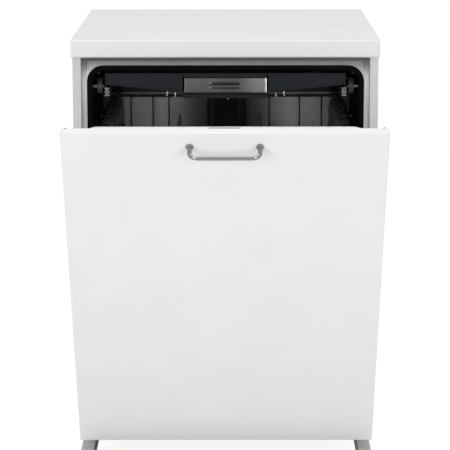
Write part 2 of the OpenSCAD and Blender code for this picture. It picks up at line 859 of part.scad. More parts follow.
// extension spring on each side, hooked over the lever and its anchor; its closed
// coils are drawn as a ribbed sleeve
module door_springs() {
    // where the lever's hole stands at rest
    ly = axis_y + 5.5 * cos(door_open) - lever_v * sin(door_open);
    y0 = ly + 44;
    y1 = spring_end - 12;
    coils = round((y1 - y0) / 3.6);
    pitch = (y1 - y0) / coils;
    x = post_in + 9;
    cabinet() color("darkgray") both_sides()
        translate([x, 0, lever_z]) {
            translate([0, y0, 0]) rotate([-90, 0, 0]) rotate_extrude(convexity = 4)
                polygon(concat(
                    [[3.4, 0]],
                    [for (i = [0:coils - 1], j = [0, 1])
                        [j == 0 ? 4.2 : 5.4, (i + j / 2) * pitch]],
                    [[4.2, y1 - y0], [3.4, y1 - y0]]));
            // hook wires at both ends, bent in from the coils' edge
            for (end = [[ly, y0 + 1], [y1 - 1, spring_end - 3.2]])
                translate([3.6, 0, 0]) rod_y(end[0], end[1], 1.8);
        }
}

// ---- guides and rollers ----

// outer rails of the upper rack and, above them, the tray's roller axles and glide pads
module rack_guides() {
    cabinet() color("gainsboro") both_sides() {
        along_y(rack_front + 8, rack_back + 12)
            polygon([
                [rail_x + 11, rail_z - 11], [rail_x + 11, rail_z + 11], [rail_x, rail_z + 11],
                [rail_x, rail_z + 7], [rail_x + 1.4, rail_z + 7], [rail_x + 1.4, rail_z + 9.6],
                [rail_x + 9.6, rail_z + 9.6], [rail_x + 9.6, rail_z - 9.6],
                [rail_x + 1.4, rail_z - 9.6], [rail_x + 1.4, rail_z - 7],
                [rail_x, rail_z - 7], [rail_x, rail_z - 11]
            ]);
        for (y = [lip_y + 40, rack_back - 60])
            translate([0, y, rail_z]) rod_x(rail_x + 11, tub_x, 16);
        translate([0, roller_y, roller_z]) {
            rod_x(roller_in + roller_w + slip, tub_x, 11);
            rod_x(roller_in - 1.4, roller_in + roller_w + slip, 6);
            rod_x(roller_in - 2.6, roller_in - 1.4, 10);
        }
        // glide pad that carries the tray's flange behind the rollers
        block([tray_x + 8, roller_y + 150, roller_z + roller_d / 2 - 9],
            [tub_x, roller_y + 174, roller_z + roller_d / 2 - 1.4]);
        block([tray_x + 8, roller_y + 150, roller_z + roller_d / 2 - 2],
            [tub_x - 4, roller_y + 174, roller_z + roller_d / 2]);
    }
}

// pair of rollers on a shared axis at the tray's front end
module guide_rollers() {
    cabinet() color("gray") both_sides()
        translate([0, roller_y, roller_z])
            difference() {
                rod_x(roller_in, roller_in + roller_w, roller_d);
                rod_x(roller_in - 1, roller_in + roller_w + 1, 6 + 2 * arm_fit);
                for (a = [0:60:300])
                    rotate([a, 0, 0]) translate([roller_in - 1, 9, 0])
                        rotate([0, 90, 0]) cylinder(h = 2.5, r = 2.2);
            }
}

// water duct under the upper basket, from its rear mouth to the arm's hub
module upper_feed_duct() {
    z = upper_arm_z + arm_t + 3;
    cabinet() color("dimgray") {
        along_z(z, z + 11) {
            translate([-15, sump_y]) square([30, tub_back - 50 - sump_y]);
            translate([0, sump_y]) circle(r = 22);
        }
        translate([0, 0, z + 5.5]) rod_y(tub_back - 50, tub_back - 43, 34);
        translate([0, sump_y, upper_arm_z - slip]) cylinder(h = arm_t + 4, r = hub_r);
        translate([0, sump_y, upper_arm_z - slip - 4]) cylinder(h = 4, r1 = hub_r, r2 = hub_r + 4);
        // clips that hold the duct to the basket's floor
        for (y = [sump_y + 60, sump_y + 150])
            block([-13, y, z + 10], [13, y + 5, upper_floor - wire / 2 - weld]);
    }
}

// ---- door ----

// furniture front with softly broken edges
module front_panel() {
    x = front_w / 2;
    r = 1.6;
    door() color("white")
        intersection() {
            along_x(-x, x) rounded(front_y, front_z, front_y + front_t, front_z + front_h, r);
            along_y(front_y - 1, front_y + front_t + 1)
                rounded(-x, front_z, x, front_z + front_h, r);
            along_z(front_z - 1, front_z + front_h + 1)
                rounded(-x, front_y, x, front_y + front_t, r);
        }
}

// bow handle: one round bar bent back to two turned rosettes
module door_handle() {
    r = 15;
    c = handle_c / 2;
    door() color("silver") translate([0, 0, bar_z]) {
        translate([0, bar_y, 0]) rod_x(-c + r, c - r, handle_bar);
        both_sides() {
            translate([c - r, bar_y + r, 0]) rotate([0, 0, -90]) rotate_extrude(angle = 90)
                translate([r, 0]) circle(d = handle_bar);
            translate([c, 0, 0]) {
                rod_y(bar_y + r, front_y - 2.4, handle_bar);
                rod_y(front_y - 2.4, front_y, rosette);
                translate([0, front_y - 4.6, 0]) rotate([-90, 0, 0])
                    cylinder(h = 2.2, d1 = handle_bar + 1.6, d2 = rosette - 1);
            }
        }
    }
}

// folded plate that carries the front and the hinge arms
module mounting_plate() {
    x = post_in + 8;
    door() color("silver")
        difference() {
            along_y(-4, pan_y)
                rounded(-x, front_z + 14, x, front_z + front_h - 12, 4);
            // lightened between the fixing screws below the inner door
            for (sx = [-1, 1])
                along_y(-5, pan_y + 1)
                    rounded(sx * 130 - 90, front_z + 40, sx * 130 + 90, axis_h - 30, 12);
        }
}

// rubber buffers in the upper corners, which meet the posts as the door shuts
module panel_buffers() {
    x = post_in + 8;
    door() color("black") both_sides()
        translate([x, 0, front_z + front_h - 6]) rod_y(-4, -slip, 8);
}

// outer half of the inner door: folded box with lipped lower corners
module door_pan() {
    top = door_top - fascia_h;
    t = sheet;
    door() color("silver")
        difference() {
            along_y(pan_y, pan_back - t) rounded(-door_x, door_low, door_x, top, 5);
            along_y(pan_y + t, pan_back)
                rounded(-door_x + t, door_low + t, door_x - t, top - t, 4);
            // drain slots along the lower edge
            for (x = [-200:50:200])
                block([x - 8, pan_y + 8, door_low - 1], [x + 8, pan_back - 6, door_low + 2]);
        }
}

// tapered pressing of the liner's field, drawn in by g
module field(g) {
    w = door_x - 15 - g;
    low = door_low + 20 + g;
    high = door_top - fascia_h - 10 - g;
    y0 = pan_back - 2;
    y1 = field_y - g;
    s = 8;
    intersection() {
        along_y(y0, y1) rounded(-w, low, w, high, 24);
        along_z(low, high) polygon([[-w, y0], [w, y0], [w - s, y1], [-w + s, y1]]);
        along_x(-w, w) polygon([[y0, low], [y0, high], [y1, high - s], [y1, low + 2]]);
    }
}

// stainless liner: flat border and raised hollow field, open where the dispenser sits
module door_liner() {
    door() color("gainsboro")
        difference() {
            union() {
                along_y(pan_back - sheet, pan_back)
                    rounded(-door_x, door_low, door_x, door_top - fascia_h, 5);
                field(0);
            }
            field(sheet);
            block([-disp_w / 2, pan_back - 3, disp_z], [disp_w / 2, field_y + 2, disp_z + disp_h]);
        }
}

// control fascia: moulded top of the inner door, with wells for the lock and buttons
module control_fascia() {
    low = door_top - fascia_h;
    y0 = pan_y;
    y1 = pan_back;
    door() color("whitesmoke")
        difference() {
            along_y(y0, y1)
                intersection() {
                    arch(door_x, low - door_r, door_top, door_r);
                    translate([-door_x, low]) square([2 * door_x, fascia_h]);
                }
            // hollow, open below
            difference() {
                along_y(y0 + 2, y1 - 2) arch(door_x - 2.5, low - 1, door_top - 2.5, door_r - 2.5);
                for (i = [0:3])
                    block([button_x(i) - button_l / 2 - 4, y0, door_top - 16],
                        [button_x(i) + button_l / 2 + 4, y1, door_top]);
                block([-lock_w / 2 - 2, y0, door_top - 34], [lock_w / 2 + 2, y0 + 9, door_top]);
            }
            // wells for the buttons
            for (i = [0:3])
                along_z(door_top - 17, door_top + 1)
                    translate([button_x(i), button_y]) well(slip);
            // well for the lock
            block([-lock_w / 2, y0 - 1, door_top - 35], [lock_w / 2, y0 + 6.5, door_top + 1]);
            // row of vent slots above the field
            for (x = [-door_x + 60:12:door_x - 60])
                block([x - 3, y1 - 3, low + 34], [x + 3, y1 + 1, low + 37]);
        }
}

// lock in the middle of the fascia: case, mouth and bolt
module door_lock() {
    door() color("black")
        difference() {
            block([-lock_w / 2, pan_y, door_top - 33], [lock_w / 2, pan_y + 6, door_top - 0.6]);
            block([-16, pan_y + 1.2, door_top - 24], [16, pan_y + 5, door_top + 1]);
        }
}

// outline of a button, grown by g
module well(g) {
    translate([-button_l / 2 + button_w / 2, -button_w / 2 - g])
        square([button_l - button_w, button_w + 2 * g]);
    for (x = [-1, 1])
        translate([x * (button_l - button_w) / 2, 0]) circle(r = button_w / 2 + g);
}

// a button: cap with a flange-free stem that runs down its well
module button(i) {
    door() color("gray")
        along_z(door_top - 15, door_top + 1)
            translate([button_x(i), button_y]) well(0);
}

module power_button() { button(0); }

module program_button() { button(1); }

module options_button() { button(2); }

module start_button() { button(3); }

// dispenser: housing with a detergent cup, guide lips for the lid and a cap seat
module dispenser_housing() {
    y1 = field_y;
    door() color("darkgray")
        difference() {
            union() {
                along_y(pan_back - 2, y1)
                    rounded(-disp_w / 2, disp_z, disp_w / 2, disp_z + disp_h, 1);
                along_y(y1, y1 + 1.4)
                    rounded(-disp_w / 2 - 5, disp_z - 5, disp_w / 2 + 5, disp_z + disp_h + 5, 8);
                // lips that keep the lid on
                for (sx = [-1, 1])
                    block([lid_x + sx * (lid_w / 2 + 3.5) - 2.5, y1 + 1, disp_z + 6],
                        [lid_x + sx * (lid_w / 2 + 3.5) + 2.5, y1 + 4.4, disp_z + disp_h + 4]);
            }
            // detergent cup
            along_y(pan_back, y1 + 3)
                rounded(lid_x - lid_w / 2 + 6, disp_z + 12, lid_x + lid_w / 2 - 6,
                    disp_z + 6 + lid_h - 6, 7);
            // seat of the rinse aid cap
            translate([cap_x, 0, disp_z + disp_h / 2]) rod_y(y1 - 9, y1 + 3, 2 * cap_r + 2 * slip);
        }
}

// sliding lid over the detergent cup, with a ridge to push it by
module dispenser_lid() {
    y0 = field_y + 1.4 + slip;
    door() color("gainsboro") {
        along_y(y0, y0 + 2)
            rounded(lid_x - lid_w / 2, disp_z + 6, lid_x + lid_w / 2, disp_z + 6 + lid_h, 3);
        along_y(y0 + 1, y0 + 5)
            rounded(lid_x - lid_w / 2 + 8, disp_z + 12, lid_x + lid_w / 2 - 8, disp_z + 17, 2);
    }
}

// rinse aid cap with a moulded grip, turned to open
module rinse_cap() {
    y1 = field_y;
    door() color("royalblue")
        translate([cap_x, 0, disp_z + disp_h / 2]) {
            rod_y(y1 - 8, y1 + 2.6, 2 * cap_r);
            difference() {
                translate([0, y1 + 2.6, 0]) rod_y(0, 5, 2 * cap_r - 6);
                for (sx = [-1, 1])
                    translate([sx * (cap_r - 1), y1 + 2.6, 0]) rod_y(-1, 6, cap_r * 1.1);
            }
        }
}

function button_x(i) = (i < 2 ? -1 : 1) * 120 + (i % 2 - 0.5) * button_pitch;

// ---- cutlery tray ----

// front-on outline of the tray: shallow wings, a deeper middle; g draws it in
module tray_section(g, below) {
    x1 = tray_x - g;
    t = tray_top + (g > 0 ? 1 : 0);
    b = below;
    polygon([
        [-x1, t], [-x1, tray_top - wing_out + b], [-grip_x - 5, tray_top - wing_in + b],
        [-grip_x - 2, tray_top - wing_in - 11 + b], [grip_x + 2, tray_top - wing_in - 11 + b],
        [grip_x + 5, tray_top - wing_in + b], [x1, tray_top - wing_out + b], [x1, t]
    ]);
}

// moulded frame: sloping wings in front, walls all round, and a flange on the rollers
module tray_frame() {
    y0 = tray_front;
    y1 = tray_front + tray_len;
    low = tray_top - wing_in - 11;
    over = roller_z + roller_d / 2 + 0.3;
    cabinet() color("darkslategray") {
        difference() {
            along_y(y0, y1) tray_section(0, 0);
            along_y(y0 + tray_wall, y1 - tray_wall) tray_section(tray_wall, tray_wall + 0.2);
            along_y(y0 + tray_wall, y1 - tray_wall) tray_section(tray_wall, -4);
            // relief of the wings' faces
            both_sides()
                along_y(y0 - 1, y0 + 0.8)
                    polygon([
                        [grip_x + 12, tray_top - 6], [tray_x - 5, tray_top - 6],
                        [tray_x - 5, tray_top - wing_out + 4],
                        [grip_x + 12, tray_top - wing_in + 5]
                    ]);
            // slots that part the wings' faces from the grip
            both_sides()
                block([grip_x + 0.2, y0 - 1, low + 13], [grip_x + 3, y0 + 4, tray_top - 3]);
        }
        // lip under the handle, turned up at its ends
        along_y(y0 - 7, y0) {
            rounded(-grip_x - 2, low, grip_x + 2, low + 7, 3.4);
            for (sx = [-1, 1]) translate([sx * (grip_x - 1), low + 6]) circle(r = 3);
        }
        both_sides() {
            // steel runner that rides on the rollers, clipped to the side wall
            block([tray_x + weld, y0 + 2, over], [roller_in + roller_w, y1, over + 1.6]);
            // box rail under the side wall
            difference() {
                block([tray_x - 9, y0 + 1, tray_top - 45], [tray_x + 2, y1, tray_top - 29]);
                block([tray_x - 7.4, y0 - 1, tray_top - 43.4], [tray_x + 0.4, y1 - 6, tray_top - 30.6]);
            }
            for (y = [y0 + 10, y0 + tray_len / 2, y1 - 20])
                block([tray_x - tray_wall, y, tray_top - 30], [tray_x, y + 10, tray_top - 18]);
        }
    }
}

// slotted floor with comb ribs that stand the cutlery on edge
module tray_grid() {
    y0 = tray_front + tray_wall;
    y1 = tray_front + tray_len - tray_wall;
    rows = 4;
    run = (y1 - y0 - 10) / rows;
    x1 = tray_x - tray_wall;
    cabinet() color("slategray")
        difference() {
            union() {
                along_y(y0, y1)
                    difference() {
                        tray_section(tray_wall, 0);
                        tray_section(tray_wall, tray_wall);
                    }
                // combs
                for (i = [0:rows - 1])
                    along_y(y0 + 10 + (i + 0.45) * run, y0 + 12 + (i + 0.45) * run)
                        difference() {
                            intersection() {
                                tray_section(tray_wall, 1);
                                translate([-x1, tray_top - 60]) square([2 * x1, 60 - 12]);
                            }
                            for (x = [comb / 2:comb:x1 - 4], sx = [-1, 1])
                                translate([sx * x, tray_top - 12]) {
                                    circle(r = comb / 2 - 3);
                                }
                        }
            }
            // slots between the ribs
            for (i = [0:rows - 1], x = [comb / 2:comb:x1 - 8], sx = [-1, 1])
                block([sx * x - comb / 2 + 4, y0 + 8 + i * run, tray_top - 70],
                    [sx * x + comb / 2 - 4, y0 + 2 + (i + 0.4) * run, tray_top]);
            for (i = [0:rows - 1], x = [comb / 2:comb:x1 - 8], sx = [-1, 1])
                block([sx * x - comb / 2 + 4, y0 + 18 + (i + 0.45) * run, tray_top - 70],
                    [sx * x + comb / 2 - 4, y0 + 3 + (i + 1) * run, tray_top]);
        }
}

// stainless handle plate with a raised oblong
module tray_handle() {
    y = tray_front;
    z0 = tray_top - 39.5;
    z1 = tray_top - 9;
    zm = (z0 + z1) / 2;
    cabinet() color("silver") {
        along_y(y - 2, y) rounded(-grip_x, z0, grip_x, z1, 1.2);
        along_y(y - 3, y - 1.6)
            difference() {
                rounded(-32, zm - 7, 32, zm + 7, 5);
                rounded(-30, zm - 4.4, 30, zm + 4.4, 3);
                for (sx = [-1, 1])
                    translate([sx * 34 - 4, zm - 4]) square([8, 8]);
            }
    }
}

// ---- upper rack ----

// a wire bent to a U across the machine, standing in the X-Z plane
module cross_wire(x, h, d) {
    rotate([90, 0, 0]) bent_u(x, h, wire_bend, d);
}

// a wire bent to a U from front to back, standing in the Y-Z plane
module long_wire(half, back, front, d) {
    rotate([90, 0, 90]) {
        rod_x(-half + wire_bend, half - wire_bend, d);
        for (end = [[0, back], [1, front]])
            mirror([end[0], 0, 0]) {
                translate([half - wire_bend, wire_bend]) rotate([0, 0, -90])
                    rotate_extrude(angle = 90) translate([wire_bend, 0]) circle(d = d);
                translate([half, 0]) rod_y(wire_bend, end[1], d);
            }
    }
}

// a cross wire whose sides curve out at the top to meet the rim
module flared_wire(x, out, h, d) {
    rotate([90, 0, 0]) {
        bent_u(x, h - out, wire_bend, d);
        both_sides()
            translate([x + out, h - out]) rotate([0, 0, 90])
                rotate_extrude(angle = 90) translate([out, 0]) circle(d = d);
    }
}

// rim of the upper basket; its front ends turn down and in to a lower front wire
module dipped_rim() {
    r = front_dip / 2;
    x = upper_x;
    w = rim_wire;
    translate([0, rack_back, 0]) rod_x(-x + wire_bend, x - wire_bend, w);
    translate([0, rack_front, -front_dip]) rod_x(-x + r, x - r, w);
    both_sides() {
        translate([x, 0, 0]) rod_y(rack_front + r, rack_back - wire_bend, w);
        translate([x - wire_bend, rack_back - wire_bend]) rotate_extrude(angle = 90)
            translate([wire_bend, 0]) circle(d = w);
        translate([x, 0, 0]) rotate([90, 0, 90]) translate([rack_front + r, -r])
            rotate([0, 0, 90]) rotate_extrude(angle = 90) translate([r, 0]) circle(d = w);
        translate([0, rack_front, 0]) rotate([90, 0, 0]) translate([x - r, -r])
            rotate([0, 0, -90]) rotate_extrude(angle = 90) translate([r, 0]) circle(d = w);
    }
}

// welded basket: rim, cross wires, lengthwise wires and the cup shelves' wires
module upper_basket() {
    my = (rack_front + rack_back) / 2;
    half = (rack_back - rack_front) / 2;
    top = upper_h - rim_wire / 2 - 2 * weld - wire;
    n = floor((rack_back - rack_front - 2 * wire_bend) / wire_pitch);
    y0 = my - n * wire_pitch / 2;
    cabinet() color("dimgray") {
        translate([0, 0, upper_rim]) dipped_rim();
        for (i = [0:n])
            translate([0, y0 + i * wire_pitch, upper_floor])
                flared_wire(side_x, flare - rim_wire / 2 - weld, upper_h, wire);
        for (x = long_xs)
            translate([x, my, upper_floor + wire + weld])
                long_wire(half, top, top - front_dip, wire);
        both_sides() {
            translate([hinge_x, 0, shelf_z]) rod_y(y0 - 8, y0 + n * wire_pitch + 8, wire);
            translate([side_x + wire + weld, 0, rail_z - 18])
                rod_y(y0 - 8, y0 + n * wire_pitch + 8, wire);
        }
    }
}

// sliding rails on the basket's sides
module upper_rack_rails() {
    y0 = rack_front + 6;
    y1 = rack_back - 2;
    cabinet() color("silver") both_sides() {
        along_y(y0, y1)
            polygon([
                [side_x + wire / 2 + weld, rail_z - 5], [rail_x + 2.2, rail_z - 5],
                [rail_x + 2.2, rail_z - 9], [rail_x + 9, rail_z - 9], [rail_x + 9, rail_z + 9],
                [rail_x + 2.2, rail_z + 9], [rail_x + 2.2, rail_z + 5],
                [side_x + wire / 2 + weld, rail_z + 5]
            ]);
    }
}

// moulded cup shelf: barrels on the basket's wire, slots, and a scalloped edge for stems
module cup_shelf() {
    my = (rack_front + rack_back) / 2;
    n = floor((rack_back - rack_front - 2 * wire_bend) / wire_pitch);
    y0 = my - n * wire_pitch / 2 + wire_pitch;
    y1 = y0 + 6 * wire_pitch;
    r = wire / 2 + 0.12;
    x1 = hinge_x - shelf_w;
    difference() {
        union() {
            block([x1, y0 + 6, shelf_z - 1.5], [hinge_x - r - 1, y1 - 6, shelf_z + 1.5]);
            for (i = [0:2:4])
                translate([hinge_x, 0, shelf_z])
                    rod_y(y0 + i * wire_pitch + 8, y0 + (i + 1) * wire_pitch - 8, 2 * r + 3.4);
            for (i = [0:2:4])
                block([hinge_x - r - 2.5, y0 + i * wire_pitch + 8, shelf_z - 1.5],
                    [hinge_x - r - 0.4, y0 + (i + 1) * wire_pitch - 8, shelf_z + 1.5]);
        }
        translate([hinge_x, 0, shelf_z]) rod_y(y0 - 10, y1 + 10, 2 * r);
        for (i = [0:5])
            translate([x1, y0 + (i + 0.5) * wire_pitch, shelf_z - 4]) cylinder(h = 8, r = 11);
        for (i = [0:5], x = [x1 + 30, x1 + 54])
            block([x, y0 + (i + 0.5) * wire_pitch - 9, shelf_z - 4],
                [x + 14, y0 + (i + 0.5) * wire_pitch + 9, shelf_z + 4]);
    }
}

module cup_shelf_left() {
    cabinet() color("slategray") mirror([1, 0, 0]) cup_shelf();
}

module cup_shelf_right() {
    cabinet() color("slategray") cup_shelf();
}

// a row of roof-shaped tines on one rod; the far foot of each stays free
module tine_row(side) {
    base = upper_floor + wire / 2 + tine_wire / 2 + slip;
    lean = 10;
    bead = tine_wire + 0.6;
    n = 9;
    pitch = (rack_back - rack_front - 80) / n;
    leg = row_h / cos(lean);
    foot = row_h * tan(lean);
    translate([0, 0, base]) rod_y(rack_front + 24, rack_back - 24, tine_wire);
    for (i = [0:n])
        translate([side * foot, rack_front + 40 + (i + side / 4) * pitch, base + row_h]) rotate([90, 0, 0]) {
            sphere(d = bead, $fn = 24);
            for (sx = [-1, 1])
                rotate([0, 0, sx * lean]) rod_y(-leg, 0, tine_wire);
        }
}

module tine_row_left() {
    cabinet() color("dimgray") translate([row_left, 0, 0]) tine_row(-1);
}

module tine_row_right() {
    cabinet() color("dimgray") translate([row_right, 0, 0]) tine_row(1);
}

// ---- spray arms ----

// swept two-bladed arm with a spine and jets, bored for its hub
module spray_arm(len, t, hub, bore) {
    tip = 10;
    reach = len / 2 - tip;
    difference() {
        union() {
            for (a = [0, 180])
                rotate([0, 0, a]) {
                    linear_extrude(t - 2) {
                        polygon([[0, -hub + 3], [reach, -tip + 5], [reach, tip + 5], [0, hub - 3]]);
                        translate([reach, 5]) circle(r = tip);
                    }
                    linear_extrude(t)
                        polygon([[0, -hub + 9], [reach, -1], [reach, 11], [0, hub - 9]]);
                }
            cylinder(h = t - 1, r = hub);
            cylinder(h = t, r = hub - 4);
        }
        translate([0, 0, -1]) cylinder(h = t + 2, r = bore);
        for (a = [0, 180], i = [1:5])
            rotate([0, 0, a]) translate([hub + i * (reach - hub) / 5.4, 4 + (i % 2) * 2, t - 2])
                cylinder(h = 3, r = 1.8);
    }
}

module lower_spray_arm() {
    cabinet() color("gray")
        translate([0, sump_y, lower_arm_z]) spray_arm(arm_long, arm_t, arm_hub, hub_r + arm_fit);
}

module upper_spray_arm() {
    cabinet() color("gray")
        translate([0, sump_y, upper_arm_z]) spray_arm(arm_short, arm_t, arm_hub, hub_r + arm_fit);
}

module ceiling_spray_arm() {
    cabinet() color("gray")
        translate([0, sump_y, tub_top - 15.8])
            spray_arm(arm_top, 7.6, arm_hub - 6, hub_r - 3 + arm_fit);
}

// ---- lower rack ----

// welded basket on wheels with fixed tines and a bow grip in front
module lower_basket() {
    my = (rack_front + rack_back) / 2;
    half = (rack_back - rack_front) / 2;
    top = lower_h - rim_wire / 2 - weld;
    n = floor((rack_back - rack_front - 2 * wire_bend) / wire_pitch);
    y0 = my - n * wire_pitch / 2;
    m = 5;
    px = (lower_x - 20) / m;
    cabinet() color("dimgray") {
        translate([0, 0, lower_rim])
            wire_loop(lower_x, rack_front, rack_back, wire_bend, rim_wire);
        for (i = [0:n])
            translate([0, y0 + i * wire_pitch, lower_floor]) cross_wire(lower_x, top, wire);
        for (i = [-m:m])
            translate([i * px, my, lower_floor + wire + weld])
                long_wire(half, top - wire - weld, top - wire - weld, wire);
        // fixed tines on three cross wires
        for (j = [2, 4, 9], i = [-m:m - 1])
            translate([(i + 0.5) * px, y0 + j * wire_pitch, lower_floor + wire / 2 + weld]) {
                cylinder(h = tine_h, d = tine_wire);
                translate([0, 0, tine_h]) sphere(d = tine_wire, $fn = 24);
            }
        // wheel stubs hung from the basket's floor
        for (y = wheel_ys)
            both_sides() {
                block([lower_x - 14, y - 5, axle_z - 5],
                    [lower_x - 9, y + 5, lower_floor - wire / 2 - weld]);
                translate([0, y, axle_z]) {
                    rod_x(lower_x - 9, lower_x + 15.5, 7);
                    rod_x(lower_x - 9, lower_x + 2.6, 12);
                    rod_x(lower_x + 15.5 - 0.8, lower_x + 16.4, 10);
                }
            }
    }
}

// straight tines on a rod that folds down toward the back
module lower_tine_row() {
    m = 5;
    px = (lower_x - 20) / m;
    z = lower_floor + 1.5 * wire + weld + slip + tine_wire / 2;
    y = fold_y;
    cabinet() color("dimgray")
        translate([0, y, z]) {
            rod_x(-lower_x + 20, lower_x - 20, tine_wire);
            for (i = [-m:m - 1])
                translate([(i + 0.25) * px, 0, 0]) {
                    cylinder(h = tine_h, d = tine_wire);
                    translate([0, 0, tine_h]) sphere(d = tine_wire, $fn = 24);
                }
        }
}

// spoked wheel on a stub
module wheel_pair(y) {
    cabinet() color("lightgray") both_sides()
        translate([0, y, axle_z])
            difference() {
                rod_x(lower_x + 3.4, lower_x + 13.8, wheel_d);
                rod_x(lower_x + 3, lower_x + 15, 7 + 2 * arm_fit);
                for (a = [0:60:300])
                    rotate([a, 0, 0]) translate([lower_x + 3, 10.5, 0])
                        rotate([0, 90, 0]) cylinder(h = 3, r = 2.6);
            }
}

module lower_wheels_front() { wheel_pair(wheel_ys[0]); }

module lower_wheels_rear() { wheel_pair(wheel_ys[1]); }

worktop();
side_panel_left();
side_panel_right();
back_panel();
cross_rails();
tub_wrap();
tub_rear_wall();
tub_floor();
door_gasket();
base_frame();
levelling_feet();
drip_tray();
sump_housing();
fine_filter();
coarse_filter();
circulation_pump();
drain_pump();
flow_heater();
water_softener();
salt_cap();
inlet_valve();
air_gap_chamber();
spray_feed();
hinge_brackets();
door_springs();
rack_guides();
guide_rollers();
upper_feed_duct();
door_lock();
front_panel();
door_handle();
mounting_plate();
panel_buffers();
door_pan();
door_liner();
control_fascia();
hinge_arms();
dispenser_housing();
dispenser_lid();
rinse_cap();
power_button();
program_button();
options_button();
start_button();
tray_frame();
tray_grid();
tray_handle();
upper_basket();
upper_rack_rails();
cup_shelf_left();
cup_shelf_right();
tine_row_left();
tine_row_right();
upper_spray_arm();
lower_basket();
lower_tine_row();
lower_wheels_front();
lower_wheels_rear();
lower_spray_arm();
ceiling_spray_arm();
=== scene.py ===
# Built-in dishwasher with its door ajar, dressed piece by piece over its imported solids.
# Units are metres; X is the width, Y runs from the front to the back, Z is up.
import bmesh
import bpy
from math import cos, pi, radians, sin
from mathutils import Matrix, Vector
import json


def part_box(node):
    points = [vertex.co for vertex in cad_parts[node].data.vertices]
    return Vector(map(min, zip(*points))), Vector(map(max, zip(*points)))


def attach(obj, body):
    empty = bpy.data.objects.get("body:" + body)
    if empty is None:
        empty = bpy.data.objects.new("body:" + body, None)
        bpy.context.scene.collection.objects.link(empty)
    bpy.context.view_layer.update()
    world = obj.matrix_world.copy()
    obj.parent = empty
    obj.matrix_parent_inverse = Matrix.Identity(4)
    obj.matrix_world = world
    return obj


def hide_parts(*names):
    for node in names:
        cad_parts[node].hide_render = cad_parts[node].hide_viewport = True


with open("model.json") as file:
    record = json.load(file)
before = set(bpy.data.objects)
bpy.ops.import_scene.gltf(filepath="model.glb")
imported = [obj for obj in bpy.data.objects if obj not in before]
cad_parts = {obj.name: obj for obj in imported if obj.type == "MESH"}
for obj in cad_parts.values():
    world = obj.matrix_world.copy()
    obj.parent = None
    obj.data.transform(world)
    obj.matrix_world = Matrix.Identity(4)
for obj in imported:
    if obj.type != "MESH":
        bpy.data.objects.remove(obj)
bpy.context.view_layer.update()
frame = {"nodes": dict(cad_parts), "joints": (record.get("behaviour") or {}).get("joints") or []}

# ---- studio ----
# A pale floor that runs out into an even white, two soft boxes before the machine and
# one over it, and a long lens a little above the worktop.
CAMERA_AT = (0.0157, -4.2641, 1.352)
LOOK_DOWN, LOOK_LEFT, ROLL = radians(11.05), radians(0.234), radians(-0.080)
FILL, FLOOR_TONE, SHADOW_TONE, FLOOR_GLOW = 0.36, 0.88, 0.34, 0.88
FLOOR_SIDE, FLOOR_FRONT, FLOOR_BACK = 12, -12, 14
scene = bpy.context.scene
scene.view_settings.view_transform = "Standard"

camera = bpy.data.objects.new("studio_camera", bpy.data.cameras.new("studio_camera"))
scene.collection.objects.link(camera)
scene.camera = camera
camera.data.lens = 170.35
camera.data.sensor_width = 36.0
camera.data.clip_end = 60.0
camera.matrix_world = (
    Matrix.Translation(CAMERA_AT)
    @ Matrix.Rotation(LOOK_LEFT, 4, "Z")
    @ Matrix.Rotation(pi / 2 - LOOK_DOWN, 4, "X")
    @ Matrix.Rotation(ROLL, 4, "Z")
)


def softbox(name, at, aim, size, watts):
    """a rectangular lamp that faces aim"""
    lamp = bpy.data.lights.new(name, "AREA")
    lamp.shape = "RECTANGLE"
    lamp.size, lamp.size_y = size
    lamp.energy = watts
    box = bpy.data.objects.new(name, lamp)
    scene.collection.objects.link(box)
    box.location = at
    box.rotation_euler = (Vector(aim) - Vector(at)).to_track_quat("-Z", "Y").to_euler()


softbox("front_left_box", at=(-2.1, -3.6, 0.95), aim=(0, -0.1, 0.1), size=(1.6, 1.7), watts=50)
softbox("front_right_box", at=(2.3, -3.4, 0.9), aim=(0, -0.1, 0.1), size=(1.4, 1.7), watts=40)
softbox("overhead_box", at=(0.0, -0.3, 3.2), aim=(0, 0.1, 0.6), size=(2.2, 1.6), watts=31)


def grey(tone):
    return (tone, tone, tone, 1.0)


def seen_white(material, seen, lit):
    """seen to the camera, in reflections and through glass, and lit to every other ray"""
    tree = material.node_tree
    path = tree.nodes.new("ShaderNodeLightPath")
    bounced = tree.nodes.new("ShaderNodeMath")
    bounced.operation = "MAXIMUM"
    either = tree.nodes.new("ShaderNodeMath")
    either.operation = "MAXIMUM"
    mix = tree.nodes.new("ShaderNodeMixShader")
    tree.links.new(path.outputs["Is Glossy Ray"], bounced.inputs[0])
    tree.links.new(path.outputs["Is Transmission Ray"], bounced.inputs[1])
    tree.links.new(path.outputs["Is Camera Ray"], either.inputs[0])
    tree.links.new(bounced.outputs[0], either.inputs[1])
    tree.links.new(either.outputs[0], mix.inputs[0])
    tree.links.new(lit, mix.inputs[1])
    tree.links.new(seen, mix.inputs[2])
    return mix.outputs[0]


world = bpy.data.worlds.new("studio_air")
scene.world = world
world.use_nodes = True
air = world.node_tree.nodes
air.clear()
fill = air.new("ShaderNodeBackground")
fill.inputs["Color"].default_value = grey(1.0)
fill.inputs["Strength"].default_value = FILL
backdrop = air.new("ShaderNodeBackground")
backdrop.inputs["Color"].default_value = grey(1.0)
backdrop.inputs["Strength"].default_value = 1.0
world_out = air.new("ShaderNodeOutputWorld")
white_air = seen_white(world, backdrop.outputs[0], fill.outputs[0])
world.node_tree.links.new(white_air, world_out.inputs["Surface"])

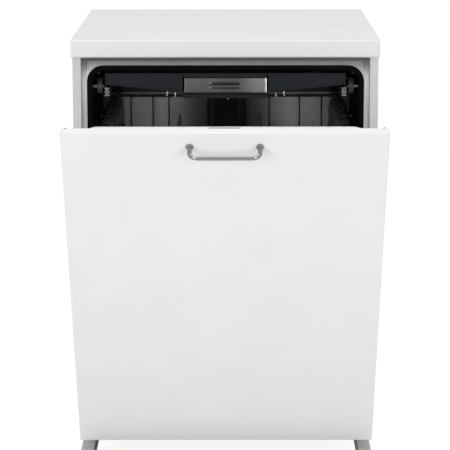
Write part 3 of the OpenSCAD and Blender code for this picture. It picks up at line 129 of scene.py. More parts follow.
# the floor glows almost white to the camera and keeps a grey share that takes the shadow
floor_paint = bpy.data.materials.new("pale_floor")
floor_paint.use_nodes = True
paint = floor_paint.node_tree.nodes
paint.clear()
matt = paint.new("ShaderNodeBsdfDiffuse")
matt.inputs["Color"].default_value = grey(FLOOR_TONE)
shadow_taker = paint.new("ShaderNodeBsdfDiffuse")
shadow_taker.inputs["Color"].default_value = grey(SHADOW_TONE)
glow = paint.new("ShaderNodeEmission")
glow.inputs["Strength"].default_value = FLOOR_GLOW
shaded = paint.new("ShaderNodeAddShader")
floor_paint.node_tree.links.new(shadow_taker.outputs[0], shaded.inputs[0])
floor_paint.node_tree.links.new(glow.outputs[0], shaded.inputs[1])
floor_white = seen_white(floor_paint, shaded.outputs[0], matt.outputs[0])
floor_out = paint.new("ShaderNodeOutputMaterial")
floor_paint.node_tree.links.new(floor_white, floor_out.inputs["Surface"])
floor_mesh = bpy.data.meshes.new("studio_floor")
floor_mesh.from_pydata([
    (-FLOOR_SIDE, FLOOR_FRONT, 0), (FLOOR_SIDE, FLOOR_FRONT, 0),
    (FLOOR_SIDE, FLOOR_BACK, 0), (-FLOOR_SIDE, FLOOR_BACK, 0)], [], [(0, 1, 2, 3)])
floor_mesh.materials.append(floor_paint)
studio_floor = bpy.data.objects.new("studio_floor", floor_mesh)
scene.collection.objects.link(studio_floor)

# ---- worktop ----
# Laminated chipboard slab. The white laminate is rolled round the front edge, a strip
# is glued on each end, and brown backing paper covers the underside.
ROLLED_EDGE = 0.004
END_STRIP = 0.0008
STRIP_BEVEL = 0.0003
UNDERSIDE_WITHIN = 0.00005
# the middle stretch of a noise, over which a finish goes from its one state to the other
NOISE_LOW, NOISE_HIGH = 0.3, 0.7


def finish(name, colour, rough, metal=0.0, gloss=0.5):
    """a plain surface, ready for its grain; returns it with its shader"""
    material = bpy.data.materials.new(name)
    material.use_nodes = True
    shader = material.node_tree.nodes["Principled BSDF"]
    shader.inputs["Base Color"].default_value = (*colour, 1.0)
    shader.inputs["Roughness"].default_value = rough
    shader.inputs["Metallic"].default_value = metal
    shader.inputs["Specular IOR Level"].default_value = gloss
    return material, shader


def texture(material, kind, per_metre, **settings):
    """a texture laid out on the piece itself; per_metre holds its repeats along X, Y and Z"""
    tree = material.node_tree
    place = tree.nodes.new("ShaderNodeTexCoord")
    scaled = tree.nodes.new("ShaderNodeMapping")
    scaled.inputs["Scale"].default_value = per_metre
    made = tree.nodes.new(kind)
    for key, value in settings.items():
        made.inputs[key].default_value = value
    tree.links.new(place.outputs["Object"], scaled.inputs["Vector"])
    tree.links.new(scaled.outputs[0], made.inputs["Vector"])
    return made


def clouds(material, per_metre, detail):
    """a noise that is alike in every direction"""
    return texture(material, "ShaderNodeTexNoise", (per_metre,) * 3, Detail=detail).outputs[0]


def crystals(material, per_metre):
    """cells with flat tones"""
    return texture(material, "ShaderNodeTexVoronoi", (per_metre,) * 3, Randomness=1.0).outputs


def vary_colour(material, shader, source, colour, low, high):
    """the colour drifts between two shares of itself as source does"""
    tree = material.node_tree
    ramp = tree.nodes.new("ShaderNodeValToRGB")
    steps = zip(ramp.color_ramp.elements, (NOISE_LOW, NOISE_HIGH), (low, high))
    for element, position, share in steps:
        element.position = position
        element.color = (*[min(1.0, tone * share) for tone in colour], 1.0)
    tree.links.new(source, ramp.inputs[0])
    tree.links.new(ramp.outputs[0], shader.inputs["Base Color"])
    return ramp


def vary_rough(material, shader, source, low, high):
    """the roughness drifts between two values as source does"""
    tree = material.node_tree
    span = tree.nodes.new("ShaderNodeMapRange")
    span.inputs["From Min"].default_value = NOISE_LOW
    span.inputs["From Max"].default_value = NOISE_HIGH
    span.inputs["To Min"].default_value = low
    span.inputs["To Max"].default_value = high
    tree.links.new(source, span.inputs["Value"])
    tree.links.new(span.outputs[0], shader.inputs["Roughness"])


def relief(material, shader, source, depth, edge=0.0004):
    """source stands proud by depth, and the piece's edges turn over a small radius"""
    tree = material.node_tree
    bump = tree.nodes.new("ShaderNodeBump")
    bump.inputs["Strength"].default_value = 0.6
    bump.inputs["Distance"].default_value = depth
    if edge:
        broken = tree.nodes.new("ShaderNodeBevel")
        broken.samples = 4
        broken.inputs["Radius"].default_value = edge
        tree.links.new(broken.outputs[0], bump.inputs["Normal"])
    tree.links.new(source, bump.inputs["Height"])
    tree.links.new(bump.outputs[0], shader.inputs["Normal"])


def laminate(name, colour, rough):
    """pressed laminate: a fine pearl texture, faint drift in tone, and satin gloss"""
    material, shader = finish(name, colour, rough)
    pearl = clouds(material, 1100, detail=3.0)
    drift = clouds(material, 2.2, detail=2.0)
    vary_colour(material, shader, drift, colour, low=0.985, high=1.012)
    vary_rough(material, shader, pearl, low=rough - 0.05, high=rough + 0.07)
    relief(material, shader, pearl, depth=0.00004)
    return material


def paper(name, colour):
    """brown backing paper: flecks of three tones, no gloss"""
    material, shader = finish(name, colour, rough=0.9)
    flecks = crystals(material, 420)
    ramp = vary_colour(material, shader, flecks["Color"], colour, low=0.7, high=1.2)
    ramp.color_ramp.elements.new(0.5).color = (*colour, 1.0)
    relief(material, shader, flecks["Distance"], depth=0.0002, edge=0.0)
    return material


def add_skin(shape, rings, first_cap=True):
    """adds a skin over rings of points, each ring closed on itself; returns its corners"""
    rows = [[shape.verts.new(point) for point in ring] for ring in rings]
    for a, b in zip(rows, rows[1:]):
        for i in range(len(a)):
            j = (i + 1) % len(a)
            shape.faces.new((a[i], a[j], b[j], b[i]))
    if first_cap:
        shape.faces.new(rows[0])
    shape.faces.new(rows[-1])
    return [corner for row in rows for corner in row]


def loft(rings):
    """a closed skin over rings of points"""
    shape = bmesh.new()
    add_skin(shape, rings)
    return shape


def set_in(name, shape, material, body, slot, *stands_for, smooth=35.0):
    """makes the shape a piece that rides on body, in place of the named solids"""
    mesh = bpy.data.meshes.new(name)
    bmesh.ops.recalc_face_normals(shape, faces=shape.faces)
    shape.to_mesh(mesh)
    shape.free()
    for one in material if isinstance(material, list) else [material]:
        mesh.materials.append(one)
    mesh.shade_smooth()
    mesh.set_sharp_from_angle(angle=radians(smooth))
    made = bpy.data.objects.new(name, mesh)
    scene.collection.objects.link(made)
    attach(made, body)
    if stands_for:
        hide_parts(*stands_for)


def quarter(centre, radius, start, steps=8):
    """points on a quarter circle in a plane, from start degrees on"""
    turns = [radians(start + 90 * i / steps) for i in range(steps + 1)]
    return [(centre[0] + radius * cos(a), centre[1] + radius * sin(a)) for a in turns]


def slab_outline(low, high, grow=0.0):
    """side-on outline of the slab, from its lower back edge round the rolled front"""
    r = ROLLED_EDGE
    front, back, under, top = low.y + grow, high.y, low.z + grow, high.z - grow
    outline = [(back, under), (back, top)]
    outline += quarter((front + r, top - r), r, 90)
    outline += quarter((front + r, under + r), r, 180)
    return outline


white_laminate = laminate("white_laminate", (0.80, 0.80, 0.79), 0.34)
backing_paper = paper("backing_paper", (0.34, 0.24, 0.15))
low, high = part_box("worktop")
ends = (low.x + END_STRIP, high.x - END_STRIP)
slab = loft([[(x, y, z) for y, z in slab_outline(low, high)] for x in ends])
for face in slab.faces:
    face.material_index = int(abs(face.calc_center_median().z - low.z) < UNDERSIDE_WITHIN)
set_in("worktop_slab", slab, [white_laminate, backing_paper], "cabinet",
       "white_laminate", "worktop")

# each strip tapers to its outer face by a small bevel; grow is how far a ring is drawn in
left_rings = [(low.x, STRIP_BEVEL), (low.x + STRIP_BEVEL, 0.0), (ends[0], 0.0)]
right_rings = [(ends[1], 0.0), (high.x - STRIP_BEVEL, 0.0), (high.x, STRIP_BEVEL)]
for side, rings in (("left", left_rings), ("right", right_rings)):
    strip = loft([[(x, y, z) for y, z in slab_outline(low, high, grow)] for x, grow in rings])
    set_in("worktop_end_strip_" + side, strip, white_laminate, "cabinet", "white_laminate")

# ---- cabinet sheets ----
# Side panels, back and rails: pressed sheet, stove-coated light grey outside and dark
# on the rails, where the dark tone is partly painted shade from the worktop's overhang.
# Pan-head screws down both edges hold the back.
HEAD_R, HEAD_SIDES = 0.0036, 24
SCREWS, SCREW_PITCH, SCREW_LOW, SCREW_IN = 5, 0.165, 0.14, 0.008
SCREW_SUNK = 0.0002


def use_on(material, *nodes):
    """gives solids that keep their own shape their finish"""
    for name in nodes:
        solid = frame["nodes"][name]
        solid.data.materials.clear()
        solid.data.materials.append(material)


def coated_sheet(name, colour, rough=0.42):
    """stove enamel on sheet: slight orange peel, edges rubbed a little"""
    material, shader = finish(name, colour, rough)
    cloud = clouds(material, 5, detail=4.0)
    vary_colour(material, shader, cloud, colour, low=0.96, high=1.03)
    vary_rough(material, shader, cloud, low=rough - 0.06, high=rough + 0.08)
    peel = clouds(material, 380, detail=2.0)
    relief(material, shader, peel, depth=0.00006)
    return material


def zinc_sheet(name, colour):
    """hot-dip zinc: crystals a few millimetres across, each with its own tone"""
    material, shader = finish(name, colour, rough=0.45, metal=0.85)
    spangle = crystals(material, 140)
    vary_colour(material, shader, spangle["Color"], colour, low=0.82, high=1.15)
    vary_rough(material, shader, spangle["Color"], low=0.34, high=0.55)
    relief(material, shader, spangle["Distance"], depth=0.00003)
    return material


def round_ways(count):
    """the cosine and sine of count even steps round a circle"""
    return [(cos(2 * pi * k / count), sin(2 * pi * k / count)) for k in range(count)]


def pan_heads(name, places, facing, material, body, slot):
    """pan-head screws with a cross recess, all facing one way"""
    turn = Vector((0, 0, 1)).rotation_difference(Vector(facing)).to_matrix().to_4x4()
    # the head's profile and its recess are shares of the head's radius
    profile = [(1.0, 0.0), (1.0, 0.22), (0.9, 0.42), (0.68, 0.56), (0.42, 0.62), (0.2, 0.64)]
    arm, waist, sunk = 0.40, 0.12, 0.28
    ways = round_ways(HEAD_SIDES)
    rings = [[(HEAD_R * r * x, HEAD_R * r * y, HEAD_R * h) for x, y in ways] for r, h in profile]
    # four points of the recess's ring reach out as its arms, the rest stay at its waist
    cross = [arm if k % (HEAD_SIDES // 4) == 0 else waist for k in range(HEAD_SIDES)]
    rings.append([
        (HEAD_R * r * x, HEAD_R * r * y, HEAD_R * sunk) for r, (x, y) in zip(cross, ways)])
    shape = bmesh.new()
    for place in places:
        head = add_skin(shape, rings, first_cap=False)
        bmesh.ops.transform(shape, matrix=Matrix.Translation(place) @ turn, verts=head)
    set_in(name, shape, material, body, slot, smooth=50.0)


post_coat = coated_sheet("post_coat", (0.665, 0.665, 0.65))
# the rails' dark tone carries painted shade: the shade under the worktop's overhang
rail_grey_painted_shade = coated_sheet("rail_grey_painted_shade", (0.085, 0.085, 0.087), 0.6)
screw_zinc = zinc_sheet("screw_zinc", (0.62, 0.62, 0.60))
use_on(post_coat, "side_panel_left", "side_panel_right", "back_panel")
use_on(rail_grey_painted_shade, "cross_rails")
low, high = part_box("back_panel")
pan_heads(
    "back_panel_screws",
    [(side * (high.x - SCREW_IN), high.y - SCREW_SUNK, low.z + SCREW_LOW + step * SCREW_PITCH)
     for side in (-1, 1) for step in range(SCREWS)],
    (0, 1, 0), screw_zinc, "cabinet", "coated_sheet")

# ---- tub ----
# Ribbon of satin stainless bent round the sides and top, with a front flange, a pressed
# rear wall seamed to it, and a floor pan below.


def brushed_steel(name, colour, rough, along, bite=0.00003):
    """satin stainless: fine lines that run along X, Y or Z, and soft large smears"""
    material, shader = finish(name, colour, rough, metal=1.0)
    per_metre = [1300.0, 1300.0, 1300.0]
    per_metre["XYZ".index(along)] = 9.0
    lines = texture(material, "ShaderNodeTexNoise", per_metre, Detail=4.0, Roughness=0.65)
    smears = clouds(material, 7, detail=3.0)
    vary_colour(material, shader, smears, colour, low=0.93, high=1.05)
    vary_rough(material, shader, lines.outputs[0], low=rough - 0.07, high=rough + 0.12)
    relief(material, shader, lines.outputs[0], depth=bite)
    return material


def darker_where(material, axis, start, end, share, mirrored=False):
    """painted shade: the colour sinks to a share of itself from start to end along one axis"""
    tree = material.node_tree
    shader = tree.nodes["Principled BSDF"]
    place = tree.nodes.new("ShaderNodeTexCoord")
    apart = tree.nodes.new("ShaderNodeSeparateXYZ")
    span = tree.nodes.new("ShaderNodeMapRange")
    span.interpolation_type = "SMOOTHSTEP"
    span.inputs["From Min"].default_value = start
    span.inputs["From Max"].default_value = end
    span.inputs["To Min"].default_value = 1.0
    span.inputs["To Max"].default_value = share
    tree.links.new(place.outputs["Object"], apart.inputs[0])
    reading = apart.outputs[axis]
    if mirrored:
        either = tree.nodes.new("ShaderNodeMath")
        either.operation = "ABSOLUTE"
        tree.links.new(reading, either.inputs[0])
        reading = either.outputs[0]
    tree.links.new(reading, span.inputs["Value"])
    sunk = tree.nodes.new("ShaderNodeMix")
    sunk.data_type = "RGBA"
    sunk.blend_type = "MULTIPLY"
    sunk.inputs["Factor"].default_value = 1.0
    tone = shader.inputs["Base Color"].links[0].from_socket
    tree.links.new(tone, sunk.inputs["A"])
    tree.links.new(span.outputs[0], sunk.inputs["B"])
    tree.links.new(sunk.outputs["Result"], shader.inputs["Base Color"])


tub_low, tub_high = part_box("tub_wrap")
tub_steel_painted_shade = brushed_steel("tub_steel_painted_shade", (0.75, 0.75, 0.74), 0.34, "Y")
tub_shader = tub_steel_painted_shade.node_tree.nodes["Principled BSDF"]
tub_shader.inputs["Specular Tint"].default_value = grey(0.16)
# painted shade: only the flange keeps its tone; the steel is darkened behind its bend, where the
# tub's inside is in shade, and up under the worktop, in its overhang's shadow
darker_where(tub_steel_painted_shade, "Y", start=tub_low.y + 0.003, end=tub_low.y + 0.012, share=0.07)
darker_where(tub_steel_painted_shade, "Z", start=tub_high.z - 0.045, end=tub_high.z - 0.004, share=0.26)
use_on(tub_steel_painted_shade, "tub_wrap", "tub_floor")

rear_steel_painted_shade = brushed_steel("rear_wall_steel_painted_shade", (0.54, 0.54, 0.53), 0.36, "Z")
# painted shade: darker towards the conduit, where shadow and a dark reflection are painted, in
# both corners, and above the upper basket's rim, where the tray's shadow is painted
darker_where(rear_steel_painted_shade, "X", start=0.150, end=0.055, share=0.14, mirrored=True)
darker_where(rear_steel_painted_shade, "X", start=0.222, end=0.236, share=0.22, mirrored=True)
darker_where(rear_steel_painted_shade, "Z", start=tub_high.z - 0.1365, end=tub_high.z - 0.130, share=0.10)
use_on(rear_steel_painted_shade, "tub_rear_wall")

# ---- door seal ----
# Black rubber extrusion pressed in round the mouth of the tub: a bulb that leans in to
# meet the door, and behind it a foot that holds on to the wall.
SEAL_CORNER = 0.032
# the extrusion's cut end: how far it reaches into the mouth, and how far back
SEAL_CUT = [
    (0.0, 0.0), (0.0035, 0.0004), (0.0062, 0.0012), (0.0088, 0.0030), (0.0104, 0.0056),
    (0.0108, 0.0082), (0.0098, 0.0108), (0.0078, 0.0126), (0.0056, 0.0132), (0.0046, 0.0118),
    (0.0036, 0.0104), (0.0026, 0.0118), (0.0012, 0.0130), (0.0, 0.0134),
]


def rubber(name, colour, gloss=0.12):
    """soft moulded rubber: dull, with a dusty bloom and flow marks"""
    material, shader = finish(name, colour, rough=0.7, gloss=gloss)
    bloom = clouds(material, 45, detail=5.0)
    vary_colour(material, shader, bloom, colour, low=0.7, high=1.5)
    vary_rough(material, shader, bloom, low=0.5, high=0.75)
    skin = clouds(material, 900, detail=2.0)
    relief(material, shader, skin, depth=0.00008, edge=0.0008)
    return material


def round_the_mouth(half, top, bottom, radius, steps=12):
    """points up one side, over the top and down the other, each with its inward way"""
    path = [(half, bottom, -1.0, 0.0)]
    for i in range(steps + 1):
        a = radians(90 * i / steps)
        path.append((half - radius + radius * cos(a), top - radius + radius * sin(a),
                     -cos(a), -sin(a)))
    return path + [(-x, z, -nx, nz) for x, z, nx, nz in reversed(path)]


seal_rubber = rubber("seal_rubber", (0.0035, 0.0035, 0.004), gloss=0.04)
low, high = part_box("door_gasket")
mouth = round_the_mouth(high.x, high.z, low.z, SEAL_CORNER)
seal = loft([
    [(x + nx * into, low.y + back, z + nz * into) for into, back in SEAL_CUT]
    for x, z, nx, nz in mouth])
set_in("door_seal", seal, seal_rubber, "cabinet", "seal_rubber", "door_gasket", smooth=50.0)

# ---- flange joints ----
# The tub's flange and the folded posts are separate sheets, and the seam between them
# stays open at both upper corners. The shade in each opening is painted as a thin dark rod.
JOINT_R, JOINT_HIGH = 0.0005, 0.019
JOINT_IN, JOINT_DOWN, JOINT_BACK = 0.0093, 0.0008, 0.0001
ROD_SIDES = 16


def moulding(name, colour, rough, grain=700.0, drift=0.06, gloss=0.5):
    """injection-moulded plastic: spark-eroded grain, slight cloudiness from the flow"""
    material, shader = finish(name, colour, rough, gloss=gloss)
    fine = clouds(material, grain, detail=3.0)
    flow = clouds(material, 14, detail=3.0)
    vary_colour(material, shader, flow, colour, low=1 - drift, high=1 + drift)
    vary_rough(material, shader, fine, low=rough - 0.06, high=rough + 0.08)
    relief(material, shader, fine, depth=0.00006, edge=0.0006)
    return material


def rod(shape, start, end, radius):
    """adds a round rod with domed ends to shape"""
    start, end = Vector(start), Vector(end)
    way = (end - start).normalized()
    turn = Vector((0, 0, 1)).rotation_difference(way).to_matrix()
    dome = [(-sin(radians(a)), cos(radians(a))) for a in (75, 45, 20, 0)]
    rings = [(start + way * along * radius, wide * radius) for along, wide in dome]
    rings += [(end - way * along * radius, wide * radius) for along, wide in reversed(dome)]
    add_skin(shape, [
        [centre + turn @ Vector((wide * x, wide * y, 0)) for x, y in round_ways(ROD_SIDES)]
        for centre, wide in rings])


# painted shade: a dark rod stands where the open seam is in shade
joint_painted_shade = moulding("joint_painted_shade", (0.02, 0.02, 0.02), 0.8, gloss=0.05)
joints = bmesh.new()
joint_y, joint_top = tub_low.y + JOINT_BACK, tub_high.z - JOINT_DOWN
for side in (-1, 1):
    joint_x = side * (tub_high.x - JOINT_IN)
    rod(joints, (joint_x, joint_y, joint_top - JOINT_HIGH), (joint_x, joint_y, joint_top), JOINT_R)
set_in("flange_joint_shades", joints, joint_painted_shade, "cabinet", "dark_plastic")

# ---- base ----
# Folded steel channels, enamelled pale, on four black screw feet. A moulded grey tray
# lies between them and catches leaks.
base_enamel = coated_sheet("base_enamel", (0.80, 0.80, 0.80), 0.5)
foot_black = moulding("foot_black", (0.03, 0.03, 0.032), 0.5)
leak_tray_grey = moulding("leak_tray_grey", (0.45, 0.46, 0.46), 0.45, drift=0.08)
use_on(base_enamel, "base_frame")
use_on(foot_black, "levelling_feet")
use_on(leak_tray_grey, "drip_tray")

# ---- water circuit ----
# Black sump with its filters, the circulation pump with a steel heater tube, the small
# drain pump, the softener with its salt cap, the inlet valve and the breaker chamber.
sump_black = moulding("sump_black", (0.035, 0.035, 0.038), 0.42)
pump_grey = moulding("pump_grey", (0.16, 0.17, 0.18), 0.5)
filter_grey = moulding("filter_grey", (0.50, 0.51, 0.51), 0.38)
tank_white = moulding("tank_white", (0.72, 0.72, 0.69), 0.4)
salt_cap_white = moulding("salt_cap_white", (0.80, 0.80, 0.79), 0.35)
heater_tube = brushed_steel("heater_tube", (0.52, 0.50, 0.46), 0.3, "X")
sieve_steel = brushed_steel("sieve_steel", (0.58, 0.58, 0.57), 0.3, "X")
use_on(sump_black, "sump_housing")
use_on(pump_grey, "circulation_pump", "drain_pump")
use_on(heater_tube, "flow_heater")
use_on(sieve_steel, "fine_filter")
use_on(filter_grey, "coarse_filter")
use_on(tank_white, "water_softener", "inlet_valve", "air_gap_chamber")
use_on(salt_cap_white, "salt_cap")

# ---- spray feed ----
# Dark moulded conduit up the rear wall, with an arched cover over the port where the
# upper rack docks, and a flat duct on to the ceiling arm. The arms are moulded too.
RIB_IN, RIB_OUT, PAINTED_SHADE_BESIDE_RIB = (0.0275, 0.0245), (0.0365, 0.0385), 0.16
conduit_grey_painted_highlight = moulding("conduit_grey_painted_highlight", (0.030, 0.030, 0.029), 0.45, gloss=0.10)
# painted highlight: pale along its two ribs, where light catches them, with painted shade between
# and outside them
for start, end in (RIB_IN, RIB_OUT):
    darker_where(conduit_grey_painted_highlight, "X", start, end, PAINTED_SHADE_BESIDE_RIB, mirrored=True)
use_on(conduit_grey_painted_highlight, "spray_feed", "upper_feed_duct")
spray_arm_grey = moulding("spray_arm_grey", (0.20, 0.21, 0.22), 0.36)
use_on(spray_arm_grey, "lower_spray_arm", "upper_spray_arm", "ceiling_spray_arm")

# ---- hinges ----
# Zinc brackets with their pins, turning straps on the door, and a coil spring on each
# side that balances the door.
hinge_zinc = zinc_sheet("hinge_zinc", (0.50, 0.50, 0.49))
spring_wire = brushed_steel("spring_wire", (0.42, 0.42, 0.42), 0.3, "Y")
use_on(hinge_zinc, "hinge_brackets", "hinge_arms")
use_on(spring_wire, "door_springs")

# ---- guides and rollers ----
# Roll-formed steel rails for the upper rack, and dark acetal rollers on stub axles
# that carry the cutlery tray.
guide_steel = brushed_steel("guide_steel", (0.30, 0.30, 0.295), 0.28, "Y")
roller_acetal = moulding("roller_acetal", (0.07, 0.07, 0.07), 0.4, gloss=0.3)
use_on(guide_steel, "rack_guides", "upper_rack_rails")
use_on(roller_acetal, "guide_rollers")

# ---- cutlery tray ----
# Shallow moulding in slate grey: two wings slope down to a deeper middle, and a darker
# moulded grid stands the cutlery up in rows.
tray_slate = moulding("tray_slate", (0.015, 0.018, 0.022), 0.5, grain=520.0, gloss=0.14)
grid_slate = moulding("tray_grid_slate", (0.012, 0.014, 0.017), 0.6, gloss=0.15)
use_on(tray_slate, "tray_frame")
use_on(grid_slate, "tray_grid")
tray_low, tray_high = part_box("tray_frame")

# ---- grip plate ----
# Satin stainless plate clipped to the front of the tray's middle as its grip. Its
# borders are rolled back, and two long beads are pressed out of its face.
BEAD_HALF, BEAD_R, BEAD_APART = 0.0275, 0.0016, 0.0096
PLATE_THICK, PLATE_OUT = 0.0010, 0.0022
BORDER_WIDE, BORDER_DEEP = 0.0016, 0.0012

grip_steel_painted_reflection = brushed_steel("grip_plate_steel_painted_reflection", (0.34, 0.335, 0.32), 0.26, "Z", bite=0.00005)
# painted reflection: bright at its right end, dull across the middle and a little lighter again on
# the left
darker_where(grip_steel_painted_reflection, "X", start=0.075, end=0.015, share=0.42)
darker_where(grip_steel_painted_reflection, "X", start=-0.030, end=0.012, share=0.80)


def cuts_between(low, high, near, step, fine, reach):
    """places from low to high, closer together within reach of each value in near"""
    cuts = {low, high}
    place = low
    while place < high:
        close = any(abs(place - spot) < reach for spot in near)
        place += fine if close else step
        cuts.add(min(place, high))
    return sorted(cuts)


def pressed_sheet(xs, zs, front_at, thick):
    """a sheet facing the front, its face and back shaped by front_at(x, z)"""
    shape = bmesh.new()
    face = [[shape.verts.new((x, front_at(x, z), z)) for x in xs] for z in zs]
    back = [[shape.verts.new((x, front_at(x, z) + thick, z)) for x in xs] for z in zs]
    for i in range(len(zs) - 1):
        for k in range(len(xs) - 1):
            shape.faces.new((face[i][k], face[i][k + 1], face[i + 1][k + 1], face[i + 1][k]))
            shape.faces.new((back[i][k + 1], back[i][k], back[i + 1][k], back[i + 1][k + 1]))
    rim = [(0, k) for k in range(len(xs))] + [(i, len(xs) - 1) for i in range(1, len(zs))]
    rim += [(len(zs) - 1, k) for k in range(len(xs) - 2, -1, -1)]
    rim += [(i, 0) for i in range(len(zs) - 2, 0, -1)]
    for (i, k), (m, n) in zip(rim, rim[1:] + rim[:1]):
        shape.faces.new((face[i][k], back[i][k], back[m][n], face[m][n]))
    return shape


grip_low, grip_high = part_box("tray_handle")
plate_front, plate_mid = grip_high.y - PLATE_OUT, (grip_low.z + grip_high.z) / 2
bead_rows = (plate_mid - BEAD_APART / 2, plate_mid + BEAD_APART / 2)


def grip_face(x, z):
    """front of the plate: rolled-back borders and the two beads"""
    edge = min(x - grip_low.x, grip_high.x - x, z - grip_low.z, grip_high.z - z)
    back = BORDER_DEEP * max(0.0, 1 - edge / BORDER_WIDE) ** 2
    for row in bead_rows:
        off = Vector((max(0.0, abs(x) - BEAD_HALF), z - row)).length
        if off < BEAD_R:
            back = -(BEAD_R ** 2 - off ** 2) ** 0.5
    return plate_front + back


grip_xs = cuts_between(
    grip_low.x, grip_high.x, (grip_low.x, grip_high.x, -BEAD_HALF, BEAD_HALF),
    step=0.004, fine=0.0005, reach=0.0026)
grip_zs = cuts_between(
    grip_low.z, grip_high.z, (grip_low.z, grip_high.z) + bead_rows,
    step=0.002, fine=0.0004, reach=0.0022)
grip = pressed_sheet(grip_xs, grip_zs, grip_face, PLATE_THICK)
set_in("grip_plate", grip, grip_steel_painted_reflection, "cutlery_tray", "stainless", "tray_handle", smooth=60.0)

# ---- wire ends and stop peg ----
# The tray is stiffened by steel wires, whose bent ends show under each wing beside the
# grip. A pale moulded peg under the middle stops the tray.
WIRE_R, WIRE_IN, WIRE_TOP, WIRE_BEND = 0.0009, 0.0105, 0.001, 0.0068
FOOT_OUT, FOOT_ON, FOOT_DOWN = 0.0016, 0.001, 0.0014
# how far outside the grip each wire comes down, and how much higher it starts
WIRE_PLACES = ((0.018, 0.0), (0.034, 0.0022))
PEG_X, PEG_IN, PEG_R = 0.0045, 0.004, 0.0012
PEG_UP, PEG_DOWN = 0.0006, 0.0018

wire_end_steel = brushed_steel("wire_end_steel", (0.62, 0.62, 0.60), 0.25, "Z")
wire_ends = bmesh.new()
for side in (-1, 1):
    for out, rise in WIRE_PLACES:
        x = side * (grip_high.x + out)
        y = tray_low.y + WIRE_IN
        z = tray_low.z + WIRE_IN + rise
        bend = (x, y, z - WIRE_BEND)
        foot = (x + side * FOOT_OUT, y - FOOT_ON, z - WIRE_BEND - FOOT_DOWN)
        rod(wire_ends, (x, y, z - WIRE_TOP), bend, WIRE_R)
        rod(wire_ends, bend, foot, WIRE_R)
set_in("tray_wire_ends", wire_ends, wire_end_steel, "cutlery_tray", "stainless")

peg_pale = moulding("peg_pale", (0.62, 0.62, 0.61), 0.4)
peg = bmesh.new()
peg_y = tray_low.y + PEG_IN
rod(peg, (PEG_X, peg_y, tray_low.z + PEG_UP), (PEG_X, peg_y, tray_low.z - PEG_DOWN), PEG_R)
set_in("tray_stop_peg", peg, peg_pale, "cutlery_tray", "light_plastic")

# ---- rail end caps ----
# Pale moulded caps, each a lattice of two crossed cells, that close the front ends of
# the steel rails along the tray's sides.
CAP_IN, CAP_BACK, CAP_DROP = 0.0146, 0.0064, 0.0293
CELL_WIDE, CELL_HIGH, CELL_DEEP = 0.010, 0.0077, 0.0018
CROSS_THICK, LEVEL_THICK, HAIR = 0.0013, 0.0011, 0.0001


def bar(shape, start, end, thick, depth):
    """adds a flat bar that lies in the XZ plane from start to end"""
    start, end = Vector(start), Vector(end)
    across = (end - start).cross(Vector((0, 1, 0))).normalized() * thick / 2
    deep = Vector((0, depth, 0))
    add_skin(shape, [
        [spot + across, spot + across + deep, spot - across + deep, spot - across]
        for spot in (start, end)])


cap_pale = moulding("cap_pale", (0.42, 0.42, 0.415), 0.4)
caps = bmesh.new()
cap_y, cap_top = tray_low.y + CAP_BACK, tray_high.z - CAP_DROP
for side in (-1, 1):
    outer = tray_high.x - CAP_IN
    x0, x1 = side * (outer - CELL_WIDE), side * outer
    for z1 in (cap_top - CELL_HIGH, cap_top):
        z0 = z1 - CELL_HIGH
        bar(caps, (x0, cap_y, z0), (x1, cap_y, z1), CROSS_THICK, CELL_DEEP)
        # the second bar is a hair shallower, so that no two faces fall together
        bar(caps, (x0, cap_y, z1), (x1, cap_y, z0), CROSS_THICK, CELL_DEEP - HAIR)
        bar(caps, (x0, cap_y, z0), (x1, cap_y, z0), LEVEL_THICK, CELL_DEEP)
    bar(caps, (x0, cap_y, cap_top), (x1, cap_y, cap_top), LEVEL_THICK, CELL_DEEP)
set_in("rail_end_caps", caps, cap_pale, "cutlery_tray", "light_plastic", smooth=30.0)

# ---- baskets ----
# Round steel wire, welded and dipped in dark nylon. The cup shelves and tine rows fold
# on the baskets' own wires, and the lower basket rolls on grey moulded wheels.


def dipped_wire(name, colour):
    """nylon dip: smooth, a touch glossy, slightly uneven in thickness"""
    material, shader = finish(name, colour, rough=0.24, gloss=0.6)
    runs = clouds(material, 60, detail=3.0)
    vary_colour(material, shader, runs, colour, low=0.8, high=1.3)
    vary_rough(material, shader, runs, low=0.18, high=0.32)
    relief(material, shader, runs, depth=0.0003, edge=0.0)
    return material


rack_nylon = dipped_wire("rack_nylon", (0.014, 0.014, 0.015))
shelf_slate = moulding("shelf_slate", (0.020, 0.023, 0.028), 0.45, gloss=0.2)
wheel_grey = moulding("wheel_grey", (0.40, 0.41, 0.41), 0.4)
use_on(rack_nylon, "upper_basket", "tine_row_left", "tine_row_right")
use_on(rack_nylon, "lower_basket", "lower_tine_row")
use_on(shelf_slate, "cup_shelf_left", "cup_shelf_right")
use_on(wheel_grey, "lower_wheels_front", "lower_wheels_rear")

# ---- furniture front ----
# Board wrapped in white foil with its edges rounded over, screwed to the door's
# mounting plate. A thin slot is left at its top back edge, over the lock, and its shade is painted
# as a black rod.
AJAR = 29.4
SLOT_HALF, SLOT_R = 0.0282, 0.0006


def door_turn(degrees):
    """turns about the hinge pins; the door at rest stands AJAR degrees open"""
    pins = next(one for one in frame["joints"] if one["name"] == "door_hinge")
    pivot = Vector(pins["pos_m"])
    return (Matrix.Translation(pivot) @ Matrix.Rotation(radians(degrees), 4, "X")
            @ Matrix.Translation(-pivot))


shut_turn, ajar_turn = door_turn(-AJAR), door_turn(AJAR)


def shut_box(node):
    """corners of a solid of the door as they are with the door shut"""
    spots = [shut_turn @ v.co for v in frame["nodes"][node].data.vertices]
    return (Vector(min(p[i] for p in spots) for i in range(3)),
            Vector(max(p[i] for p in spots) for i in range(3)))


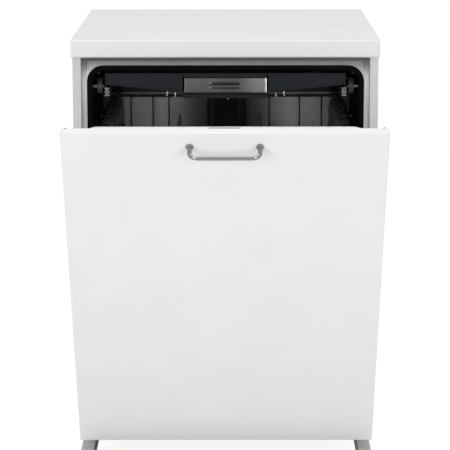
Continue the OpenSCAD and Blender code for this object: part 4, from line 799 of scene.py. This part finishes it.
front_foil = laminate("front_foil", (0.84, 0.84, 0.835), 0.4)
use_on(front_foil, "front_panel")
back_edge = shut_box("front_panel")[1]
slot_painted_shade = moulding("slot_painted_shade", (0.012, 0.012, 0.012), 0.8, gloss=0.02)
slot = bmesh.new()
rod(slot, (-SLOT_HALF, back_edge.y, back_edge.z), (SLOT_HALF, back_edge.y, back_edge.z), SLOT_R)
bmesh.ops.transform(slot, matrix=ajar_turn, verts=slot.verts)
set_in("front_edge_slot", slot, slot_painted_shade, "door", "dark_plastic")

# ---- bow handle ----
# Round bar bent back at both ends, with a turned rosette where each leg meets the
# furniture front. It is bright-plated and screwed on through the front.
BOW_BEND, BEND_STEPS = 0.015, 12
BAR_R, BAR_SIDES = 0.00425, 28
LEG_SHORT = 0.0010
ROSETTE_SIDES, ROSETTE_DEEP, COLLAR_DEEP = 40, 0.0046, 0.0050


def polished(name, colour, rough):
    """bright plating: mirror gloss with a faint haze and the odd fingerprint"""
    material, shader = finish(name, colour, rough, metal=1.0)
    haze = clouds(material, 90, detail=4.0)
    vary_colour(material, shader, haze, colour, low=0.92, high=1.04)
    vary_rough(material, shader, haze, low=rough - 0.03, high=rough + 0.09)
    relief(material, shader, haze, depth=0.00002, edge=0.0)
    return material


handle_chrome = polished("handle_chrome", (0.26, 0.26, 0.257), 0.11)
low, high = shut_box("door_handle")
bar_y, bar_z = low.y + BAR_R, (low.z + high.z) / 2
rosette_r = (high.z - low.z) / 2
leg_x = high.x - rosette_r
# each stop on the bar's middle line: its x and y, and the parts of its ring's radius
# that point along Y and along X, so that the ring stands square to the bar
bow = [(-leg_x, high.y - LEG_SHORT, 0.0, 1.0)]
for i in range(BEND_STEPS + 1):
    a = radians(90 * i / BEND_STEPS)
    bow.append((-leg_x + BOW_BEND * (1 - cos(a)), bar_y + BOW_BEND * (1 - sin(a)), sin(a), cos(a)))
bow += [(-x, y, along_y, -along_x) for x, y, along_y, along_x in reversed(bow)]
handle = loft([
    [(x + BAR_R * c * along_x, y + BAR_R * c * along_y, bar_z + BAR_R * s)
     for c, s in round_ways(BAR_SIDES)]
    for x, y, along_y, along_x in bow])
# a rosette's profile: radius, and how far it stands off the furniture front
rosette = [
    (rosette_r * 0.92, 0.0), (rosette_r, 0.0004), (rosette_r, 0.0016),
    (rosette_r * 0.97, 0.0023), (rosette_r * 0.88, 0.0027), (rosette_r * 0.80, 0.0028),
    (rosette_r * 0.72, 0.0031), (BAR_R * 1.22, ROSETTE_DEEP), (BAR_R * 1.04, COLLAR_DEEP)]
for side in (-1, 1):
    add_skin(handle, [
        [(side * leg_x + radius * c, high.y - off, bar_z + radius * s)
         for c, s in round_ways(ROSETTE_SIDES)]
        for radius, off in rosette])
bmesh.ops.transform(handle, matrix=ajar_turn, verts=handle.verts)
set_in("bow_handle", handle, handle_chrome, "door", "chrome_handle", "door_handle", smooth=45.0)

# ---- inner door ----
# Zinc-coated plate and pan behind the furniture front, with a stainless liner on the
# tub's side, a white moulded fascia along the top and a black lock. Rubber buffers in
# the upper corners meet the posts.
plate_zinc = zinc_sheet("plate_zinc", (0.55, 0.55, 0.55))
liner_steel = brushed_steel("liner_steel", (0.60, 0.60, 0.59), 0.32, "X")
fascia_white = moulding("fascia_white", (0.80, 0.80, 0.80), 0.35)
lock_black = moulding("lock_black", (0.02, 0.02, 0.021), 0.5, gloss=0.2)
buffer_rubber = rubber("buffer_rubber", (0.02, 0.02, 0.02))
use_on(plate_zinc, "mounting_plate", "door_pan")
use_on(liner_steel, "door_liner")
use_on(fascia_white, "control_fascia")
use_on(lock_black, "door_lock")
use_on(buffer_rubber, "panel_buffers")

# ---- buttons and dispenser ----
# Four grey push buttons in the fascia. The moulded dispenser in the liner has a sliding
# lid and a blue rinse-aid cap that turns.
button_grey = moulding("button_grey", (0.30, 0.31, 0.32), 0.35)
dispenser_grey = moulding("dispenser_grey", (0.42, 0.43, 0.44), 0.4)
lid_grey = moulding("lid_grey", (0.55, 0.56, 0.57), 0.35)
rinse_cap_blue = moulding("rinse_cap_blue", (0.05, 0.12, 0.40), 0.3)
use_on(button_grey, "power_button", "program_button", "options_button", "start_button")
use_on(dispenser_grey, "dispenser_housing")
use_on(lid_grey, "dispenser_lid")
use_on(rinse_cap_blue, "rinse_cap")
